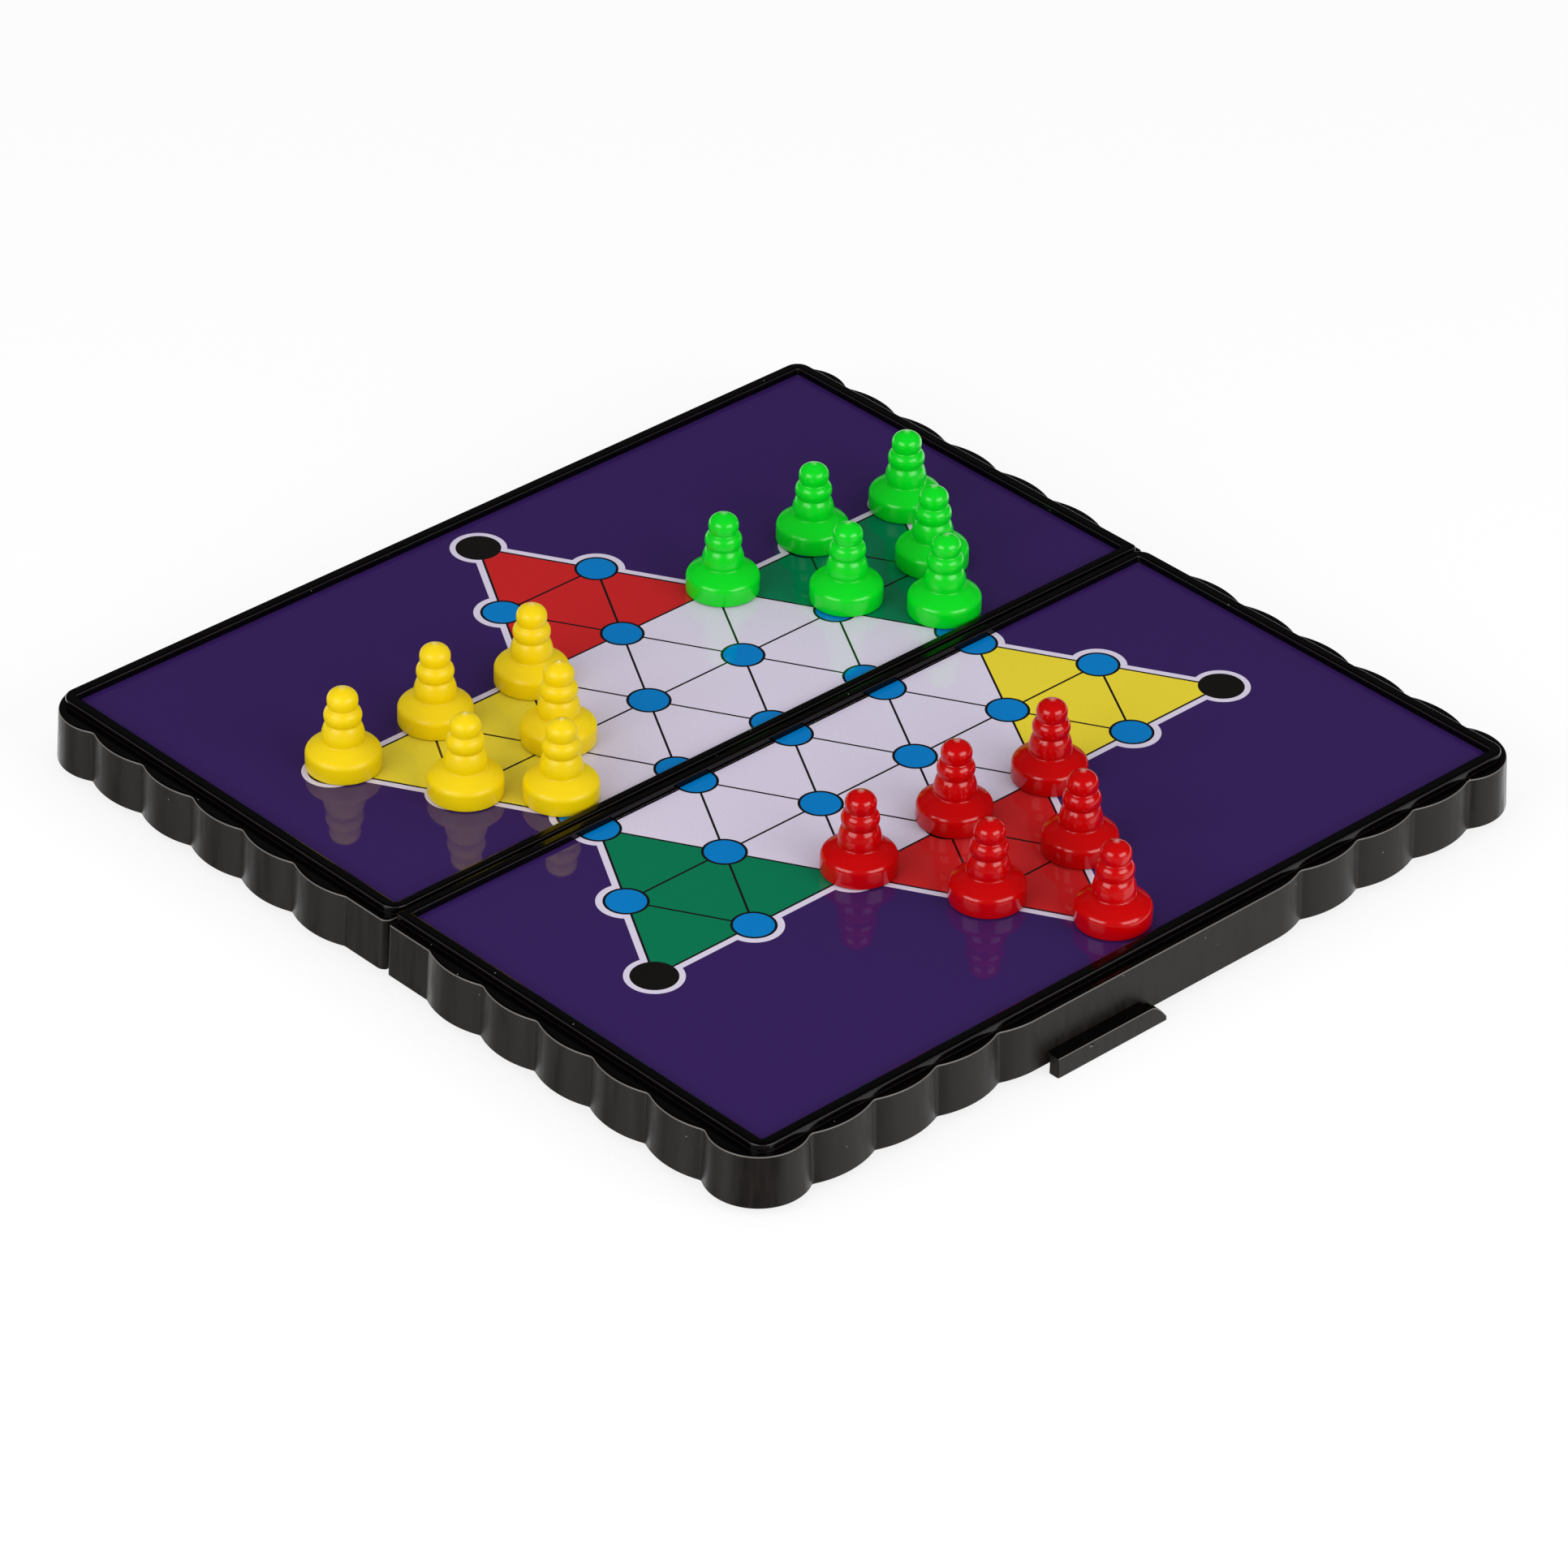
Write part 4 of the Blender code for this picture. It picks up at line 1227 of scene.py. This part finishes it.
for half in ("rear", "front"):
    low, high = (Vector(corner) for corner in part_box(f"{half}_hinge_pin"))
    radius = (high.z - low.z) / 2 / MM
    pin_outline = disc_profile(radius, (high.x - low.x) / MM)
    mesh = turned_mesh(f"{half}_pin", pin_outline, pin_steel, PIN_STEPS)
    start = Vector((low.x, (low.y + high.y) / 2, (low.z + high.z) / 2))
    along_x = Matrix.Rotation(QUARTER_TURN, 4, "Y")
    mesh.transform(Matrix.Translation(start) @ along_x @ Matrix.Scale(MM, 4))
    pin = add_piece(f"{half}_drawn_pin", mesh, pin_steel, f"{half}_half", f"{half}_hinge_pin")
    print(pin.name, round(2 * radius, 2), "mm thick")

# %% [markdown]
# ## The table, the room and the lamps
# The board stands on a white table in a white room. For the camera, and for what mirrors
# or lets light through, the table is mostly clear and shows the white room behind it, so
# the picture's ground is white while a part of the table's own shading keeps the soft
# shadow. For all other light it is plain white card. Dark cloths hang round the set, as a
# photographer of glossy things would hang them: only reflections see them, so the print
# mirrors the pawns and not the room. Only a low grey wall at the back lifts the film a
# little. Below the table's edge hang dark cloths and bright reflectors in turn. The black
# walls mirror those, and get the dark band at the near corner and the light strips in their
# valleys.

# %% Table, room and cloths
CARD_SHARE = 0.20
TABLE_SIZE = 6.0
ROOM_FILL = 0.74
CLOTH_DISTANCE = 0.75
CLOTH_TOP = 1.0
CLOTH_DROP = 0.9
CLOTH_STEPS = 24
NEARER = 0.01
DARK = 0.005
CAMERA_AZIMUTH = -43.71


def direction(azimuth, elevation):
    """The unit vector to an azimuth and elevation in degrees. Azimuth 0 is in front, at -Y."""
    turn, lift = math.radians(azimuth), math.radians(elevation)
    flat = math.cos(lift)
    return Vector((math.sin(turn) * flat, -math.cos(turn) * flat, math.sin(lift)))


def seen_directly(tree):
    """1 for rays from the camera and for those that mirror or pass through, otherwise 0."""
    path = add_node(tree, "ShaderNodeLightPath").outputs
    first = add_node(
        tree,
        "ShaderNodeMath",
        {0: path["Is Camera Ray"], 1: path["Is Glossy Ray"]},
        operation="MAXIMUM",
    )
    return add_node(
        tree, "ShaderNodeMath", {0: first, 1: path["Is Transmission Ray"]}, operation="MAXIMUM"
    )


table_card, tree = new_material("white_table_card")
card_share = add_node(
    tree, "ShaderNodeMapRange", {"Value": seen_directly(tree), "To Min": 1.0, "To Max": CARD_SHARE}
)
card = add_node(tree, "ShaderNodeBsdfDiffuse", {"Color": linear("#F4F4F4")})
clear = add_node(tree, "ShaderNodeBsdfTransparent")
mixed = add_node(tree, "ShaderNodeMixShader", {0: card_share, 1: clear, 2: card})
add_node(tree, "ShaderNodeOutputMaterial", {"Surface": mixed})

bpy.ops.mesh.primitive_plane_add(size=TABLE_SIZE)
table = bpy.context.object
table.name = "table"
table.data.materials.append(table_card)

room = bpy.data.worlds.new("white_room")
room.use_nodes = True
room.node_tree.nodes.clear()
level_of_room = add_node(
    room.node_tree,
    "ShaderNodeMapRange",
    {"Value": seen_directly(room.node_tree), "To Min": ROOM_FILL, "To Max": 1.0},
)
white = add_node(
    room.node_tree, "ShaderNodeBackground", {"Color": linear("#FFFFFF"), "Strength": level_of_room}
)
add_node(room.node_tree, "ShaderNodeOutputWorld", {"Surface": white})
bpy.context.scene.world = room


def cloth_material(name, brightness):
    """A cloth that shows one even brightness."""
    material, tree = new_material(name)
    glow = add_node(
        tree, "ShaderNodeEmission", {"Color": linear("#FFFFFF"), "Strength": brightness}
    )
    add_node(tree, "ShaderNodeOutputMaterial", {"Surface": glow})
    return material


def hang_cloth(name, start, end, low, high, brightness, distance=CLOTH_DISTANCE):
    """A curved cloth that only reflections see, between two azimuths. 0 is in front, at -Y."""
    turns = [start + (end - start) * n / CLOTH_STEPS for n in range(CLOTH_STEPS + 1)]
    ring = [direction(turn, 0) * distance for turn in turns]
    points = [(place.x, place.y, z) for place in ring for z in (low, high)]
    faces = [(2 * n, 2 * n + 1, 2 * n + 3, 2 * n + 2) for n in range(CLOTH_STEPS)]
    if low == high:
        faces = [range(0, 2 * CLOTH_STEPS, 2)]
    mesh = bpy.data.meshes.new(name)
    mesh.from_pydata(points, [], faces)
    mesh.materials.append(cloth_material(name, brightness))
    cloth = add_object(name, mesh)
    for kind_of_ray in ("camera", "diffuse", "transmission", "volume_scatter", "shadow"):
        setattr(cloth, f"visible_{kind_of_ray}", False)


CLOTHS = (
    ("upper_dark_cloth", -180, 180, 0, CLOTH_TOP, DARK),
    ("dark_canopy", -180, 180, CLOTH_TOP, CLOTH_TOP, DARK),
    ("grey_back_wall", 90, 180, 0.34, 0.64, 0.06, CLOTH_DISTANCE - NEARER),
    ("low_grey_cloth", -150, -118, -CLOTH_DROP, 0, 0.06),
    ("low_left_reflector", -118, -88, -CLOTH_DROP, 0, 1.3),
    ("low_dark_cloth", -88, 2, -CLOTH_DROP, 0, 0.02),
    ("low_right_reflector", 2, 30, -CLOTH_DROP, 0, 1.3),
    ("far_left_reflector", -192, -168, -CLOTH_DROP, 0, 2.6),
    ("far_right_reflector", 78, 100, -CLOTH_DROP, 0, 2.6),
)
for cloth in CLOTHS:
    hang_cloth(*cloth)
print("stage", table.name, [cloth[0] for cloth in CLOTHS])

# %% [markdown]
# Two wide softboxes stand left and right of the camera, where the highlights on the pawns'
# rings and balls put them. With the light of the room they give a white card on the table
# about the light that makes it render as white, so colours render as they are written.

# %% Softboxes
BOARD_MIDDLE = Vector((0, 0, 0.008))
SOFTBOXES = (
    ("left_softbox", CAMERA_AZIMUTH - 44, 26, 0.62, 0.46, 0.30, 1.9),
    ("right_softbox", CAMERA_AZIMUTH + 50, 25, 0.62, 0.48, 0.30, 2.0),
)


def add_softbox(name, azimuth, elevation, distance, width, height, watts):
    """A rectangular lamp aimed at the board."""
    lamp = bpy.data.lights.new(name, "AREA")
    lamp.shape = "RECTANGLE"
    lamp.size = width
    lamp.size_y = height
    lamp.energy = watts
    holder = add_object(name, lamp)
    way = direction(azimuth, elevation)
    holder.location = BOARD_MIDDLE + way * distance
    holder.rotation_euler = way.to_track_quat("Z", "Y").to_euler()


for softbox in SOFTBOXES:
    add_softbox(*softbox)
print("softboxes", len(SOFTBOXES))

# %% [markdown]
# ## The camera
# A long lens from a good way off: the pattern of the spots fixes it, because they lie on a
# flat grid of known spacing. It looks down at 33 degrees from the board's near left corner,
# and is rolled by a little over a degree.

# %% Place the camera
AIM = Vector((-8.29, -9.36, 8.4)) * MM
CAMERA_ELEVATION = 33.23
CAMERA_ROLL = 1.197
CAMERA_DISTANCE = 881.35 * MM
LENS = 167.06
SENSOR = 36

lens = bpy.data.cameras.new("camera")
lens.lens = LENS
lens.sensor_width = SENSOR
lens.clip_start = 0.01
camera = add_object("camera", lens)
back = direction(CAMERA_AZIMUTH, CAMERA_ELEVATION)
camera.location = AIM + back * CAMERA_DISTANCE
roll = Matrix.Rotation(math.radians(CAMERA_ROLL), 3, "Z")
camera.rotation_euler = (back.to_track_quat("Z", "Y").to_matrix() @ roll).to_euler()
bpy.context.scene.camera = camera
bpy.context.scene.view_settings.view_transform = "Standard"
print("camera", [round(value / MM, 1) for value in camera.location], "mm")

# %% [markdown]
# ## Update the scene
# The visual model has to stay in the imported model's box.

# %% Update the scene
bpy.context.view_layer.update()
